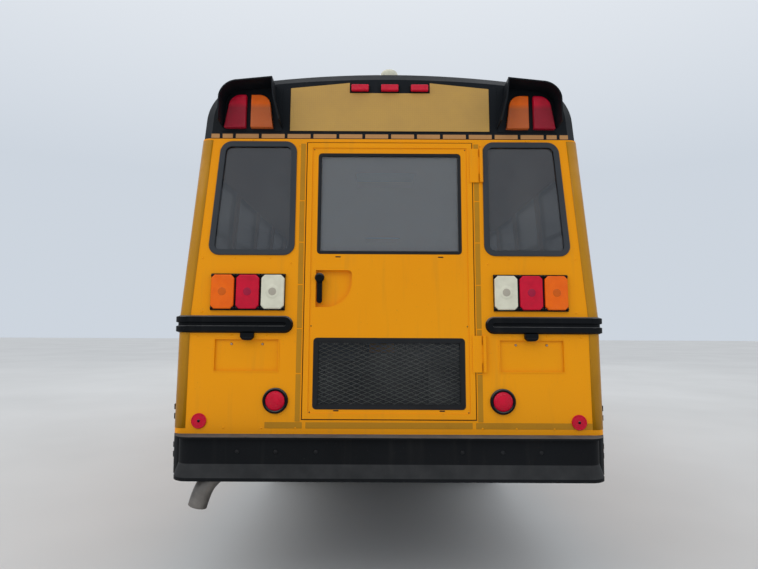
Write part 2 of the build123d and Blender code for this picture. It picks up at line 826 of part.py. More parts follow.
with BuildPart() as front_bumper:
    add(bumper_shell(1, front_bumper_low_z))
    with BuildSketch(station(front_y)):
        with Locations((-plate_hole_spacing / 2, plate_hole_z), (plate_hole_spacing / 2, plate_hole_z)):
            Circle(plate_hole_radius)
    extrude(amount=bumper_web_inset + 2 * bumper_sheet, mode=Mode.SUBTRACT)
    with BuildSketch(level(front_bumper_low_z + bumper_high_z - bumper_low_z)):
        for side in (-1, 1):
            with Locations((side * (rail_outer_x - rail_flange / 2), front_y - bumper_wrap)):
                Rectangle(rail_flange, 2 * (bumper_wrap - bumper_web_inset - bumper_sheet))
    extrude(amount=-bumper_lip, mode=Mode.SUBTRACT)
front_bumper.part.label = "front_bumper"
export_step(front_bumper.part, "parts/front_bumper.step")

# Rub rails: two ridges with a channel between, along both flanks and across the rear corners
rail_proud = 22
rail_channel = 10
rub_height = 100
rub_slope = 8
rub_ridge = 38
rub_step = 4
rub_under = 8
rub_lap = 1
rub_entry_clearance = 110
rub_zs = (1518, 1015, 800)
rear_rub_inner_x = 553


def rub_profile():
    """Cross-section of a rub rail, its back on the Y axis and its foot at the origin."""
    with BuildSketch() as profile:
        Polygon(
            (0, 0),
            (rail_proud, rub_slope),
            (rail_proud, rub_ridge),
            (rail_channel, rub_ridge + rub_step),
            (rail_channel, rub_height - rub_ridge - rub_step),
            (rail_proud, rub_height - rub_ridge),
            (rail_proud, rub_height - rub_slope),
            (0, rub_height),
        )
    return profile.sketch


flank_rail_front_y = cowl_y - front_setback - front_bow / 2
rub_mid_z = rub_zs[0] + rub_height / 2
rub_corner_x = body_half_width - end_corner_radius
flank_rail_rear_y = wall_foot_y + rub_mid_z * lean_rise + end_corner_radius


def rub_loop(side, loop_x):
    """The rounded end of a rear rail, where its ridge turns round the channel."""
    centre = rear_face.from_local_coords((side * loop_x, up_wall(rub_zs[0]) + rub_height / 2, 0))
    with BuildPart() as loop:
        with BuildSketch(Plane(origin=centre, x_dir=rear_face.z_dir, z_dir=(-1, 0, 0))):
            with Locations((0, -rub_height / 2)):
                add(rub_profile())
            with Locations((rail_proud / 2, -rub_height / 4)):
                Rectangle(rail_proud, rub_height / 2, mode=Mode.INTERSECT)
        revolve(axis=Axis(centre, -side * rear_face.z_dir), revolution_arc=180)
    return loop.part


def rub_corner(side):
    """The quarter turn of the rail round a rear corner of the body, cut to the leaning wall."""
    centre = (side * rub_corner_x, flank_rail_rear_y, rub_zs[0])
    with BuildPart() as corner:
        with BuildSketch(Plane(origin=centre, x_dir=(side, 0, 0), z_dir=(0, -side, 0))):
            with Locations((end_corner_radius, 0)):
                add(rub_profile())
            with Locations((end_corner_radius - rub_under / 2, rub_height / 2)):
                Rectangle(rub_under, rub_height)
        revolve(axis=Axis(centre, (0, 0, -side)), revolution_arc=90)
        add(rear_form.part, mode=Mode.SUBTRACT)
    return corner.part


rail_spans = {
    -1: ((flank_rail_rear_y, flank_rail_front_y),),
    1: ((flank_rail_rear_y, entry_rear_y - rub_entry_clearance),),
}

with BuildPart() as rub_rails:
    for side, spans in rail_spans.items():
        for low_y, high_y in spans:
            for rub_z in rub_zs:
                cuts = [low_y, high_y]
                if rub_z < wheel_z + rear_arch_radius:
                    cuts = [low_y, rear_axle_y - rear_arch_radius, rear_axle_y + rear_arch_radius, high_y]
                for start_y, stop_y in zip(cuts[::2], cuts[1::2]):
                    with BuildSketch(
                        Plane(
                            origin=(side * body_half_width, stop_y, rub_z),
                            x_dir=(side, 0, 0),
                            z_dir=(0, -side, 0),
                        )
                    ):
                        add(rub_profile())
                    extrude(amount=side * (stop_y - start_y))
        loop_x = rear_rub_inner_x + rub_height / 2
        with BuildSketch(
            Plane(
                origin=rear_face.from_local_coords((side * loop_x, up_wall(rub_zs[0]), 0)),
                x_dir=rear_face.z_dir,
                z_dir=(-1, 0, 0),
            )
        ):
            add(rub_profile())
        extrude(amount=-side * (rub_corner_x + rub_lap - loop_x))
        add(rub_loop(side, loop_x))
        add(rub_corner(side))
rub_rails.part.label = "rub_rails"
export_step(rub_rails.part, "parts/rub_rails.step")

# Emergency door: a flanged leaf with a tall window, a low window and a recessed handle cup
door_window_half_width = door_half_width - 65
door_window_high_z = door_high_z - 63
door_window_mid_z = belt_z + 360
door_low_window_high_z = 1484
door_low_window_low_z = 1100
door_window_radius = 22
door_flange = 30
door_flange_proud = 5
cup_left_x = -427
cup_right_x = -218
cup_low_z = 1670
cup_high_z = 1885
cup_depth = 28
cup_radius = 150
cup_corner = 25
door_panes = ((door_window_mid_z, door_window_high_z), (door_low_window_low_z, door_low_window_high_z))


def door_rectangles(grow):
    """The two window outlines of the emergency door, grown by a margin."""
    with BuildSketch() as outlines:
        for low_z, high_z in door_panes:
            with Locations((0, up_wall((low_z + high_z) / 2))):
                RectangleRounded(
                    2 * (door_window_half_width + grow),
                    up_wall(high_z - low_z) + 2 * grow,
                    door_window_radius + grow,
                )
    return outlines.sketch


with BuildPart() as emergency_door:
    with BuildSketch(rear_face):
        with Locations((0, up_wall((door_low_z + door_high_z) / 2))):
            Rectangle(2 * door_half_width, up_wall(door_high_z - door_low_z))
    extrude(amount=-door_leaf)
    with BuildSketch(rear_face):
        with Locations((0, up_wall((door_low_z + door_high_z) / 2))):
            Rectangle(2 * door_half_width, up_wall(door_high_z - door_low_z))
            Rectangle(
                2 * (door_half_width - door_flange),
                up_wall(door_high_z - door_low_z) - 2 * door_flange,
                mode=Mode.SUBTRACT,
            )
    extrude(amount=door_flange_proud)
    with BuildSketch(rear_face):
        add(door_rectangles(0))
    extrude(amount=-2 * door_leaf, mode=Mode.SUBTRACT)
    with BuildSketch(rear_face):
        with BuildSketch(mode=Mode.PRIVATE) as cup:
            with Locations(((cup_left_x + cup_right_x) / 2, up_wall((cup_low_z + cup_high_z) / 2))):
                Rectangle(cup_right_x - cup_left_x, up_wall(cup_high_z - cup_low_z))
            low_corner = cup.vertices().group_by(Axis.X)[-1].sort_by(Axis.Y)[0]
            fillet(low_corner, radius=cup_radius)
            fillet(cup.vertices().group_by(Axis.Y)[-1].sort_by(Axis.X)[-1], radius=cup_corner)
        add(cup.sketch)
    extrude(amount=-cup_depth, mode=Mode.SUBTRACT)
    for z in door_hinge_zs:
        add(moving_hinge(door_hinge_plane(z), door_hinge_edge, door_hinge_height, door_hinge_lap))
emergency_door.part.label = "emergency_door"
export_step(emergency_door.part, "parts/emergency_door.step")

with BuildPart() as emergency_door_glass:
    with BuildSketch(rear_face.offset(-rear_pane_depth)):
        add(door_rectangles(0))
    extrude(amount=-glass)
emergency_door_glass.part.label = "emergency_door_glass"
export_step(emergency_door_glass.part, "parts/emergency_door_glass.step")

handle_x = -405
handle_low_z = 1692
handle_high_z = 1862
handle_width = 30
handle_thickness = 16
handle_post = 11

with BuildPart() as door_handle:
    with BuildSketch(rear_face.offset(-cup_depth)):
        with Locations((handle_x, up_wall(handle_high_z - handle_width / 2))):
            Circle(handle_post)
    extrude(amount=cup_depth - handle_thickness / 2)
    with BuildSketch(rear_face.offset(-handle_thickness / 2)):
        with Locations((handle_x, up_wall((handle_low_z + handle_high_z) / 2))):
            SlotOverall(handle_high_z - handle_low_z, handle_width, rotation=90)
    extrude(amount=handle_thickness)
door_handle.part.label = "door_handle"
export_step(door_handle.part, "parts/door_handle.step")

# Lamps on the rear wall and its cap, and the beacon on the roof
lens_proud = 30
base_proud = 10
base_margin = 8
tail_z = 1754.5
tail_height = 205
tail_width = 138
tail_columns = {"clear": 673, "red": 818, "amber": 963}
round_lamp_x = 643
round_lamp_z = 1138
round_lamp_radius = 56
round_ring_radius = 72
reflector_x = body_half_width - 149
reflector_z = 1025
reflector_radius = 43
reflector_proud = 6
licence_lamp_x = 812
licence_lamp_width = 75
licence_lamp_height = 26
id_lamp_pitch = 180
id_lamp_count = 3
id_lamp_z = roof_top_z - 144
id_lamp_width = 113
id_lamp_height = 46
warning_low_z = eave_z + 60
warning_high_z = roof_top_z - 172
warning_arch_radius = 60
warning_red = (eave_half_width - 270, eave_half_width - 139, 35)
warning_amber = (eave_half_width - 298, eave_half_width - 434, -25)
strobe_setback = 450
strobe_y = rear_y + strobe_setback
strobe_radius = 60
strobe_height = 98
strobe_crown = 28


def warning_outline(side, straight_x, arched_x, lean):
    """A warning lens seen from behind: one edge upright, the other leaning to an arched top corner."""
    with BuildSketch() as outline:
        Polygon(
            (side * straight_x, up_wall(warning_low_z)),
            (side * arched_x, up_wall(warning_low_z)),
            (side * (arched_x - lean), up_wall(warning_high_z)),
            (side * straight_x, up_wall(warning_high_z)),
        )
        high_corners = outline.vertices().group_by(Axis.Y)[-1].sort_by(Axis.X)
        fillet(high_corners[-1 if side * lean > 0 else 0], radius=warning_arch_radius)
    return outline.sketch


with BuildPart() as lamp_bases:
    for side in (-1, 1):
        with BuildSketch(rear_face):
            with Locations((side * tail_columns["red"], up_wall(tail_z))):
                Rectangle(3 * tail_width + 2 * base_margin, tail_height + base_margin)
            with Locations((side * round_lamp_x, up_wall(round_lamp_z))):
                Circle(round_ring_radius)
        extrude(amount=base_proud)
        with BuildSketch(rear_face):
            with Locations((side * licence_lamp_x, up_wall(rub_zs[0] - licence_lamp_height / 2))):
                Rectangle(licence_lamp_width, licence_lamp_height)
        extrude(amount=lens_proud)
lamp_bases.part.label = "lamp_bases"
export_step(lamp_bases.part, "parts/lamp_bases.step")

with BuildPart() as red_lenses:
    for side in (-1, 1):
        with BuildSketch(rear_face.offset(base_proud)):
            with Locations((side * tail_columns["red"], up_wall(tail_z))):
                Rectangle(tail_width, tail_height)
            with Locations((side * round_lamp_x, up_wall(round_lamp_z))):
                Circle(round_lamp_radius)
        extrude(amount=lens_proud - base_proud)
        with BuildSketch(rear_face):
            with Locations((side * reflector_x, up_wall(reflector_z))):
                Circle(reflector_radius)
        extrude(amount=reflector_proud)
        with BuildSketch(rear_face.offset(sign_proud)):
            add(warning_outline(side, *warning_red))
        extrude(amount=lens_proud)
    with BuildSketch(rear_face):
        with Locations((0, up_wall(id_lamp_z + id_lamp_height / 2))):
            with GridLocations(id_lamp_pitch, 0, id_lamp_count, 1):
                Rectangle(id_lamp_width, id_lamp_height)
    extrude(amount=lens_proud)
red_lenses.part.label = "red_lenses"
export_step(red_lenses.part, "parts/red_lenses.step")

with BuildPart() as amber_lenses:
    for side in (-1, 1):
        with BuildSketch(rear_face.offset(base_proud)):
            with Locations((side * tail_columns["amber"], up_wall(tail_z))):
                Rectangle(tail_width, tail_height)
        extrude(amount=lens_proud - base_proud)
        with BuildSketch(rear_face.offset(sign_proud)):
            add(warning_outline(side, *warning_amber))
        extrude(amount=lens_proud)
amber_lenses.part.label = "amber_lenses"
export_step(amber_lenses.part, "parts/amber_lenses.step")

with BuildPart() as clear_lenses:
    for side in (-1, 1):
        with BuildSketch(rear_face.offset(base_proud)):
            with Locations((side * tail_columns["clear"], up_wall(tail_z))):
                Rectangle(tail_width, tail_height)
        extrude(amount=lens_proud - base_proud)
    with BuildSketch(level(roof_top_z)):
        with Locations((0, strobe_y)):
            Circle(strobe_radius)
    extrude(amount=strobe_height)
    chamfer(clear_lenses.edges().group_by(Axis.Z)[-1], length=strobe_crown)
clear_lenses.part.label = "clear_lenses"
export_step(clear_lenses.part, "parts/clear_lenses.step")

# Benches: eleven rows each side of the aisle; the driver's seat; the dashboard with its wheel
bench_pitch = 700
bench_setback = 560
bench_rear_y = rear_y + bench_setback
bench_outer_x = deck_half_width - 14
bench_inner_x = 190
bench_cushion_z = 1330
bench_cushion_thickness = 120
bench_depth = 400
bench_back_top_z = 1890
bench_back_thickness = 90
bench_back_rake = 60
leg_width = 50
leg_span = 280
bench_entry_gap = 150
bench_front_y = entry_rear_y - bench_entry_gap - bench_depth
bench_count = int((bench_front_y - bench_rear_y) / bench_pitch) + 1

bench_ys = [bench_rear_y + bench_pitch * i for i in range(bench_count)]

with BuildPart() as bench_cushions:
    for side in (-1, 1):
        with BuildSketch(flank(side * bench_inner_x)):
            for y in bench_ys:
                with Locations((y + bench_back_thickness, bench_cushion_z)):
                    Rectangle(
                        bench_depth - bench_back_thickness,
                        bench_cushion_thickness,
                        align=(Align.MIN, Align.MIN),
                    )
        extrude(amount=side * (bench_outer_x - bench_inner_x))
bench_cushions.part.label = "bench_cushions"
export_step(bench_cushions.part, "parts/bench_cushions.step")

with BuildPart() as bench_backs:
    for side in (-1, 1):
        with BuildSketch(flank(side * bench_inner_x)):
            for y in bench_ys:
                Polygon(
                    (y, bench_cushion_z),
                    (y + bench_back_thickness, bench_cushion_z),
                    (y + bench_back_thickness, bench_cushion_z + bench_cushion_thickness),
                    (y + bench_back_thickness - bench_back_rake, bench_back_top_z),
                    (y - bench_back_rake, bench_back_top_z),
                    align=None,
                )
        extrude(amount=side * (bench_outer_x - bench_inner_x))
bench_backs.part.label = "bench_backs"
export_step(bench_backs.part, "parts/bench_backs.step")

with BuildPart() as bench_frames:
    for side in (-1, 1):
        with BuildSketch(flank(side * (bench_inner_x + leg_width))):
            for y in bench_ys:
                with Locations((y + bench_depth / 2, (floor_z + bench_cushion_z) / 2)):
                    Rectangle(leg_span, bench_cushion_z - floor_z)
                    Rectangle(leg_span - leg_width, bench_cushion_z - floor_z - leg_width, mode=Mode.SUBTRACT)
        extrude(amount=side * leg_width / 2)
bench_frames.part.label = "bench_frames"
export_step(bench_frames.part, "parts/bench_frames.step")

# Driver's seat on its pedestal
driver_x = -600
driver_y = cowl_y - 1080
driver_seat_z = 1420
driver_seat_width = 500
driver_seat_depth = 480
driver_cushion = 110
driver_back_top_z = 2120
driver_back_thickness = 110
pedestal_half = 150

with BuildPart() as driver_seat:
    with BuildSketch(flank(driver_x - driver_seat_width / 2)):
        Polygon(
            (driver_y, driver_seat_z),
            (driver_y + driver_seat_depth, driver_seat_z),
            (driver_y + driver_seat_depth, driver_seat_z + driver_cushion),
            (driver_y + driver_back_thickness, driver_seat_z + driver_cushion),
            (driver_y, driver_back_top_z),
            (driver_y - driver_back_thickness, driver_back_top_z),
        )
    extrude(amount=driver_seat_width)
    with BuildSketch(level(floor_z)):
        with Locations((driver_x, driver_y + driver_seat_depth / 2)):
            Rectangle(2 * pedestal_half, 2 * pedestal_half)
    extrude(amount=driver_seat_z - floor_z)
driver_seat.part.label = "driver_seat"
export_step(driver_seat.part, "parts/driver_seat.step")

# Dashboard with the steering column and wheel
dash_rear_y = cowl_y - 510
dash_low_z = 1250
dash_high_z = 1640
dash_bevel = 60
dash_half_width = body_half_width - 99
dash_right_x = 560
wheel_rim_radius = 225
wheel_rim_bar = 26
column_tilt = 30
column_radius = 28
column_length = 300
steering_hub_z = 1720
steering_hub_y = dash_rear_y - 100

with BuildPart() as dashboard:
    with BuildSketch(flank(-dash_half_width)):
        Polygon(
            (dash_rear_y, dash_low_z + dash_bevel),
            (dash_rear_y + dash_bevel, dash_low_z),
            (cowl_y, dash_low_z),
            (cowl_y, dash_high_z),
            (dash_rear_y + dash_bevel, dash_high_z),
            (dash_rear_y, dash_high_z - dash_bevel),
        )
    extrude(amount=dash_half_width + dash_right_x)
    add(behind_panel, mode=Mode.INTERSECT)
    wheel_plane = Plane(
        origin=(driver_x, steering_hub_y, steering_hub_z),
        x_dir=(1, 0, 0),
        z_dir=(0, -math.sin(math.radians(column_tilt)), math.cos(math.radians(column_tilt))),
    )
    with BuildSketch(wheel_plane):
        Circle(wheel_rim_radius)
        Circle(wheel_rim_radius - wheel_rim_bar, mode=Mode.SUBTRACT)
        with PolarLocations(0, 3, start_angle=-90):
            with Locations((wheel_rim_radius / 2 - wheel_rim_bar / 4, 0)):
                Rectangle(wheel_rim_radius - wheel_rim_bar / 2, wheel_rim_bar)
    extrude(amount=wheel_rim_bar)
    with BuildSketch(wheel_plane):
        Circle(column_radius)
    extrude(amount=-column_length)
dashboard.part.label = "dashboard"
export_step(dashboard.part, "parts/dashboard.step")

# Engine: one plain block between the rails, with its gearbox
engine_front_y = front_axle_y + 550
engine_rear_y = front_axle_y - 620
engine_half_width = 300
engine_low_z = 660
engine_high_z = 1330
gearbox_rear_y = front_axle_y - 1450
gearbox_half_width = 200
gearbox_low_z = 640
gearbox_high_z = 870
engine_mount_z = 720
engine_mount_ys = (engine_rear_y + 170, engine_front_y - 200)
engine_mount_width = 60

with BuildPart() as engine:
    with BuildSketch(station(engine_front_y)):
        with Locations((0, (engine_low_z + engine_high_z) / 2)):
            Rectangle(2 * engine_half_width, engine_high_z - engine_low_z)
    extrude(amount=engine_front_y - engine_rear_y)
    with BuildSketch(station(engine_rear_y)):
        with Locations((0, (gearbox_low_z + gearbox_high_z) / 2)):
            Rectangle(2 * gearbox_half_width, gearbox_high_z - gearbox_low_z)
    extrude(amount=engine_rear_y - gearbox_rear_y)
    with BuildSketch(level(engine_mount_z)):
        with Locations(*[(0, y) for y in engine_mount_ys]):
            Rectangle(2 * (rail_outer_x - rail_sheet), engine_mount_width)
    extrude(amount=engine_mount_width)
engine.part.label = "engine"
export_step(engine.part, "parts/engine.step")

# Fuel tank and battery box, hung outside the rails and behind the skirts
tank_front_y = front_axle_y - 3100
tank_rear_y = tank_front_y - 1400
tank_outer_x = body_half_width - 139
tank_low_z = 480
tank_corner = 70

with BuildPart() as fuel_tank:
    with BuildSketch(station(tank_front_y)):
        with Locations(((rail_outer_x + tank_outer_x) / 2, (tank_low_z + rail_top_z) / 2)):
            RectangleRounded(tank_outer_x - rail_outer_x, rail_top_z - tank_low_z, tank_corner)
    extrude(amount=tank_front_y - tank_rear_y)
fuel_tank.part.label = "fuel_tank"
export_step(fuel_tank.part, "parts/fuel_tank.step")

battery_front_y = front_axle_y - 2700
battery_rear_y = battery_front_y - 700
battery_low_z = 620

with BuildPart() as battery_box:
    with BuildSketch(station(battery_front_y)):
        with Locations((-(rail_outer_x + body_half_width - skirt_sheet) / 2, (battery_low_z + rail_top_z) / 2)):
            Rectangle(body_half_width - skirt_sheet - rail_outer_x, rail_top_z - battery_low_z)
    extrude(amount=battery_front_y - battery_rear_y)
battery_box.part.label = "battery_box"
export_step(battery_box.part, "parts/battery_box.step")

# Rear axle: a housing with a differential, spindles into the hubs and the drive shaft
axle_radius = 62
spindle_radius = 45
diff_radius = 190
diff_half_width = 130
shaft_radius = 45
rear_spindle_end_x = dual_outer_x + 48
rear_hub_inner_x = dual_inner_x - 127

with BuildPart() as rear_axle:
    with BuildSketch(Plane.YZ.offset(-rear_hub_inner_x)):
        with Locations((rear_axle_y, wheel_z)):
            Circle(axle_radius)
    extrude(amount=2 * rear_hub_inner_x)
    with BuildSketch(Plane.YZ.offset(-rear_spindle_end_x)):
        with Locations((rear_axle_y, wheel_z)):
            Circle(spindle_radius)
    extrude(amount=2 * rear_spindle_end_x)
    with BuildSketch(Plane.YZ.offset(-diff_half_width)):
        with Locations((rear_axle_y, wheel_z)):
            Circle(diff_radius)
    extrude(amount=2 * diff_half_width)
    shaft_run = gearbox_rear_y - rear_axle_y
    shaft_drop = (gearbox_low_z + gearbox_high_z) / 2 - wheel_z
    with BuildSketch(
        Plane(origin=(0, rear_axle_y, wheel_z), x_dir=(1, 0, 0), z_dir=(0, shaft_run, shaft_drop))
    ):
        Circle(shaft_radius)
    shaft_tip = shaft_radius * shaft_drop / shaft_run + running_gap
    extrude(amount=math.hypot(shaft_run, shaft_drop) - shaft_tip)
rear_axle.part.label = "rear_axle"
export_step(rear_axle.part, "parts/rear_axle.step")

# Front axle: a drop beam with an eye at each end for the kingpin
beam_height = 90
beam_depth = 80
beam_low_z = wheel_z - beam_height / 2
eye_radius = 42
kingpin_radius = 22
eye_half_height = 60

with BuildPart() as front_axle:
    with BuildSketch(level(beam_low_z)):
        with Locations((0, front_axle_y)):
            Rectangle(2 * (kingpin_half - eye_radius / 2), beam_depth)
    extrude(amount=beam_height)
    with BuildSketch(level(wheel_z - eye_half_height)):
        with Locations((-kingpin_half, front_axle_y), (kingpin_half, front_axle_y)):
            Circle(eye_radius)
    extrude(amount=2 * eye_half_height)
    with BuildSketch(level(wheel_z - eye_half_height)):
        with Locations((-kingpin_half, front_axle_y), (kingpin_half, front_axle_y)):
            Circle(kingpin_radius + running_gap)
    extrude(amount=2 * eye_half_height, mode=Mode.SUBTRACT)
front_axle.part.label = "front_axle"
export_step(front_axle.part, "parts/front_axle.step")

# Leaf springs: an arched pack under each rail end, tied to its axle by a saddle
spring_width = 76
spring_pack = 60
spring_tip = 20
rear_spring_outset = 60
front_spring_half = 650
rear_spring_half = 800
spring_x = {"front": rail_outer_x - rail_flange / 2, "rear": rail_outer_x + rear_spring_outset}
rear_spring_sag = 120
front_seat_z = wheel_z + beam_height / 2
rear_seat_z = wheel_z + axle_radius
springs = (
    # end, axle y, half length, seat height, sag
    ("front", front_axle_y, front_spring_half, front_seat_z, rail_low_z - spring_tip - front_seat_z),
    ("rear", rear_axle_y, rear_spring_half, rear_seat_z, rear_spring_sag),
)
hanger_half = 30
rear_spring_outer_x = spring_x["rear"] + spring_width / 2

with BuildPart() as leaf_springs:
    for end, y, half_length, seat_z, spring_sag in springs:
        for side in (-1, 1):
            low_x = side * spring_x[end] - spring_width / 2
            with BuildSketch(flank(low_x)):
                with BuildLine():
                    ThreePointArc(
                        (y - half_length, seat_z + spring_sag),
                        (y, seat_z),
                        (y + half_length, seat_z + spring_sag),
                    )
                    Line(
                        (y + half_length, seat_z + spring_sag),
                        (y + half_length, seat_z + spring_sag + spring_tip),
                    )
                    ThreePointArc(
                        (y + half_length, seat_z + spring_sag + spring_tip),
                        (y, seat_z + spring_pack),
                        (y - half_length, seat_z + spring_sag + spring_tip),
                    )
                    Line(
                        (y - half_length, seat_z + spring_sag + spring_tip),
                        (y - half_length, seat_z + spring_sag),
                    )
                make_face()
            extrude(amount=spring_width)
    for side in (-1, 1):
        with BuildSketch(level(rear_seat_z + rear_spring_sag)):
            with Locations(*[
                (side * (rail_outer_x + rear_spring_outer_x) / 2, rear_axle_y + end * rear_spring_half)
                for end in (-1, 1)
            ]):
                Rectangle(rear_spring_outer_x - rail_outer_x, 2 * hanger_half)
        extrude(amount=spring_tip)
leaf_springs.part.label = "leaf_springs"
export_step(leaf_springs.part, "parts/leaf_springs.step")

# Exhaust: muffler and tailpipe along the left, over the axle and out under the bumper
pipe_radius = 52
pipe_bend = 200
muffler_radius = 130
muffler_length = 1000
muffler_x = -600
muffler_z = 755
over_axle_x = -515
over_axle_z = 800
muffler_tail = 200
muffler_gap = 360
muffler_front_y = rear_axle_y + rear_spring_half + muffler_gap + muffler_tail + muffler_length
over_axle_run = 90
over_axle_rear_y = rear_axle_y - rear_spring_half - over_axle_run
tail_drop = (-985, rear_y + 195, 735)
tail_end = (-1052, rear_y + 85, 580)
tail_bend = (-800, (over_axle_rear_y + tail_drop[1]) / 2, 745)
tail_bore = 45
tail_wall = 3
tail_points = (
    (muffler_x, muffler_front_y - muffler_length, muffler_z),
    (muffler_x, muffler_front_y - muffler_length - muffler_tail, muffler_z),
    (over_axle_x, rear_axle_y + rear_spring_half, over_axle_z),
    (over_axle_x, over_axle_rear_y, over_axle_z),
    tail_bend,
    tail_drop,
    tail_end,
)
hanger_bar = 24
exhaust_hangers = (
    # x, y, height of the pipe there
    (muffler_x, muffler_front_y - 0.2 * muffler_length, muffler_z),
    (muffler_x, muffler_front_y - 0.7 * muffler_length, muffler_z),
    [(bend + drop) / 2 for bend, drop in zip(tail_bend, tail_drop)],
)

with BuildPart() as exhaust:
    with BuildLine():
        FilletPolyline(*tail_points, radius=pipe_bend)
    with BuildSketch(Plane(origin=tail_points[0], x_dir=(1, 0, 0), z_dir=(0, -1, 0))):
        Circle(pipe_radius)
    sweep()
    with BuildSketch(Plane(origin=tail_end, z_dir=Vector(*tail_drop) - Vector(*tail_end))):
        Circle(pipe_radius - tail_wall)
    extrude(amount=tail_bore, mode=Mode.SUBTRACT)
    with BuildSketch(station(muffler_front_y)):
        with Locations((muffler_x, muffler_z)):
            Circle(muffler_radius)
    extrude(amount=muffler_length)
    for x, y, z in exhaust_hangers:
        with BuildSketch(level(z)):
            with Locations((x, y)):
                Rectangle(hanger_bar, hanger_bar)
        extrude(amount=floor_bottom_z - z)
exhaust.part.label = "exhaust"
export_step(exhaust.part, "parts/exhaust.step")

# Mud flaps behind the rear wheels
flap_gap = 130
flap_y = rear_axle_y - tyre_radius - flap_gap
flap_thickness = 10
flap_low_z = 260
flap_inner_x = box_inner_x + 20

with BuildPart() as mud_flaps:
    with BuildSketch(station(flap_y)):
        for side in (-1, 1):
            with Locations((side * (flap_inner_x + deck_half_width) / 2, (flap_low_z + floor_bottom_z) / 2)):
                Rectangle(deck_half_width - flap_inner_x, floor_bottom_z - flap_low_z)
    extrude(amount=flap_thickness)
mud_flaps.part.label = "mud_flaps"
export_step(mud_flaps.part, "parts/mud_flaps.step")

# Mirrors: a flat head on an upright post, held out from the cowl by two brackets
mirror_x = body_half_width + 151
mirror_low_z = 1850
mirror_high_z = 2250
mirror_width = 190
mirror_depth = 60
mirror_corner = 40
post_radius = 14
post_low_z = 1430
post_y = cowl_y - front_bow - front_depth / 2
bracket_zs = (1460, 1590)

with BuildPart() as mirrors:
    for side in (-1, 1):
        with BuildSketch(station(post_y)) as mirror_head:
            with Locations((side * mirror_x, (mirror_low_z + mirror_high_z) / 2)):
                Rectangle(mirror_width, mirror_high_z - mirror_low_z)
            chamfer(mirror_head.vertices(), length=mirror_corner)
        extrude(amount=-mirror_depth)
        with BuildSketch(level(post_low_z)):
            with Locations((side * mirror_x, post_y)):
                Circle(post_radius)
        extrude(amount=mirror_high_z - mirror_corner - post_low_z)
        for z in bracket_zs:
            with BuildSketch(flank(side * body_half_width)):
                with Locations((post_y, z)):
                    Circle(post_radius)
            extrude(amount=side * (mirror_x - body_half_width))
mirrors.part.label = "mirrors"
export_step(mirrors.part, "parts/mirrors.step")

# Hood and fenders: one hollow moulding that tilts forward, with an arch over each front wheel
hood_rear_y = cowl_y + 30
hood_low_z = 760
hood_shell = 14
hood_crest_y = front_axle_y + 150
hood_nose_y = front_y - 160
hood_shoulder = 180
hood_stations = (
    # y, half width, top z
    (hood_rear_y, body_half_width - 319, 1640),
    (hood_crest_y, body_half_width - 369, 1570),
    (hood_nose_y, body_half_width - 499, 1400),
)
fender_inner_x = front_track_half - 370
fender_outer_x = body_half_width - 24
fender_rear_y = cowl_y + 60
fender_front_y = front_y - 190
fender_shoulder_z = 1180
fender_crown_z = 1260
fender_nose_z = 1050
fender_slope_run = 150
fender_slope_rise = 90
fender_edge = 60
arch_radius = 645
grille_half_width = 430
grille_low_z = 860
grille_high_z = 1240
grille_bar = 26
grille_bars = 7
grille_depth = 30
headlamp_x = fender_outer_x - 305
headlamp_z = 930
headlamp_width = 260
headlamp_height = 150
headlamp_radius = 30


def hood_ring(half_width, top_z, shoulder):
    """Corners of one hood section, its shoulders turned in three flats."""
    flat = shoulder * math.tan(math.radians(22.5)) / 2
    right = (
        (half_width, hood_low_z),
        (half_width, top_z - shoulder),
        (half_width - flat, top_z - shoulder + 2 * flat),
        (half_width - shoulder + 2 * flat, top_z - flat),
        (half_width - shoulder, top_z),
    )
    return [*right, *[(-x, z) for x, z in reversed(right)]]


def hood_form(inset):
    """The solid form of the hood with both fenders, drawn in by inset."""
    with BuildPart() as form:
        for y, half_width, top_z in hood_stations:
            shift = inset if y == hood_nose_y else 0
            with BuildSketch(station(y - shift)):
                Polygon(*hood_ring(half_width - inset, top_z - inset, hood_shoulder), align=None)
        loft(ruled=True)
        for side in (-1, 1):
            with BuildPart(mode=Mode.PRIVATE) as fender:
                with BuildSketch(flank(side * fender_inner_x)):
                    Polygon(
                        (fender_rear_y + inset, hood_low_z),
                        (fender_rear_y + inset, fender_shoulder_z - inset),
                        (front_axle_y, fender_crown_z - inset),
                        (fender_front_y - fender_slope_run, fender_nose_z + fender_slope_rise - inset),
                        (fender_front_y - inset, fender_nose_z - inset),
                        (fender_front_y - inset, hood_low_z),
                        align=None,
                    )
                extrude(amount=side * (fender_outer_x - inset - fender_inner_x))
                outer_face = fender.faces().sort_by(Axis.X)[-1 if side > 0 else 0]
                high_edges = [e for e in outer_face.edges() if e.center().Z > hood_low_z + 1]
                chamfer(high_edges, length=fender_edge)
            add(fender.part)
    return form.part


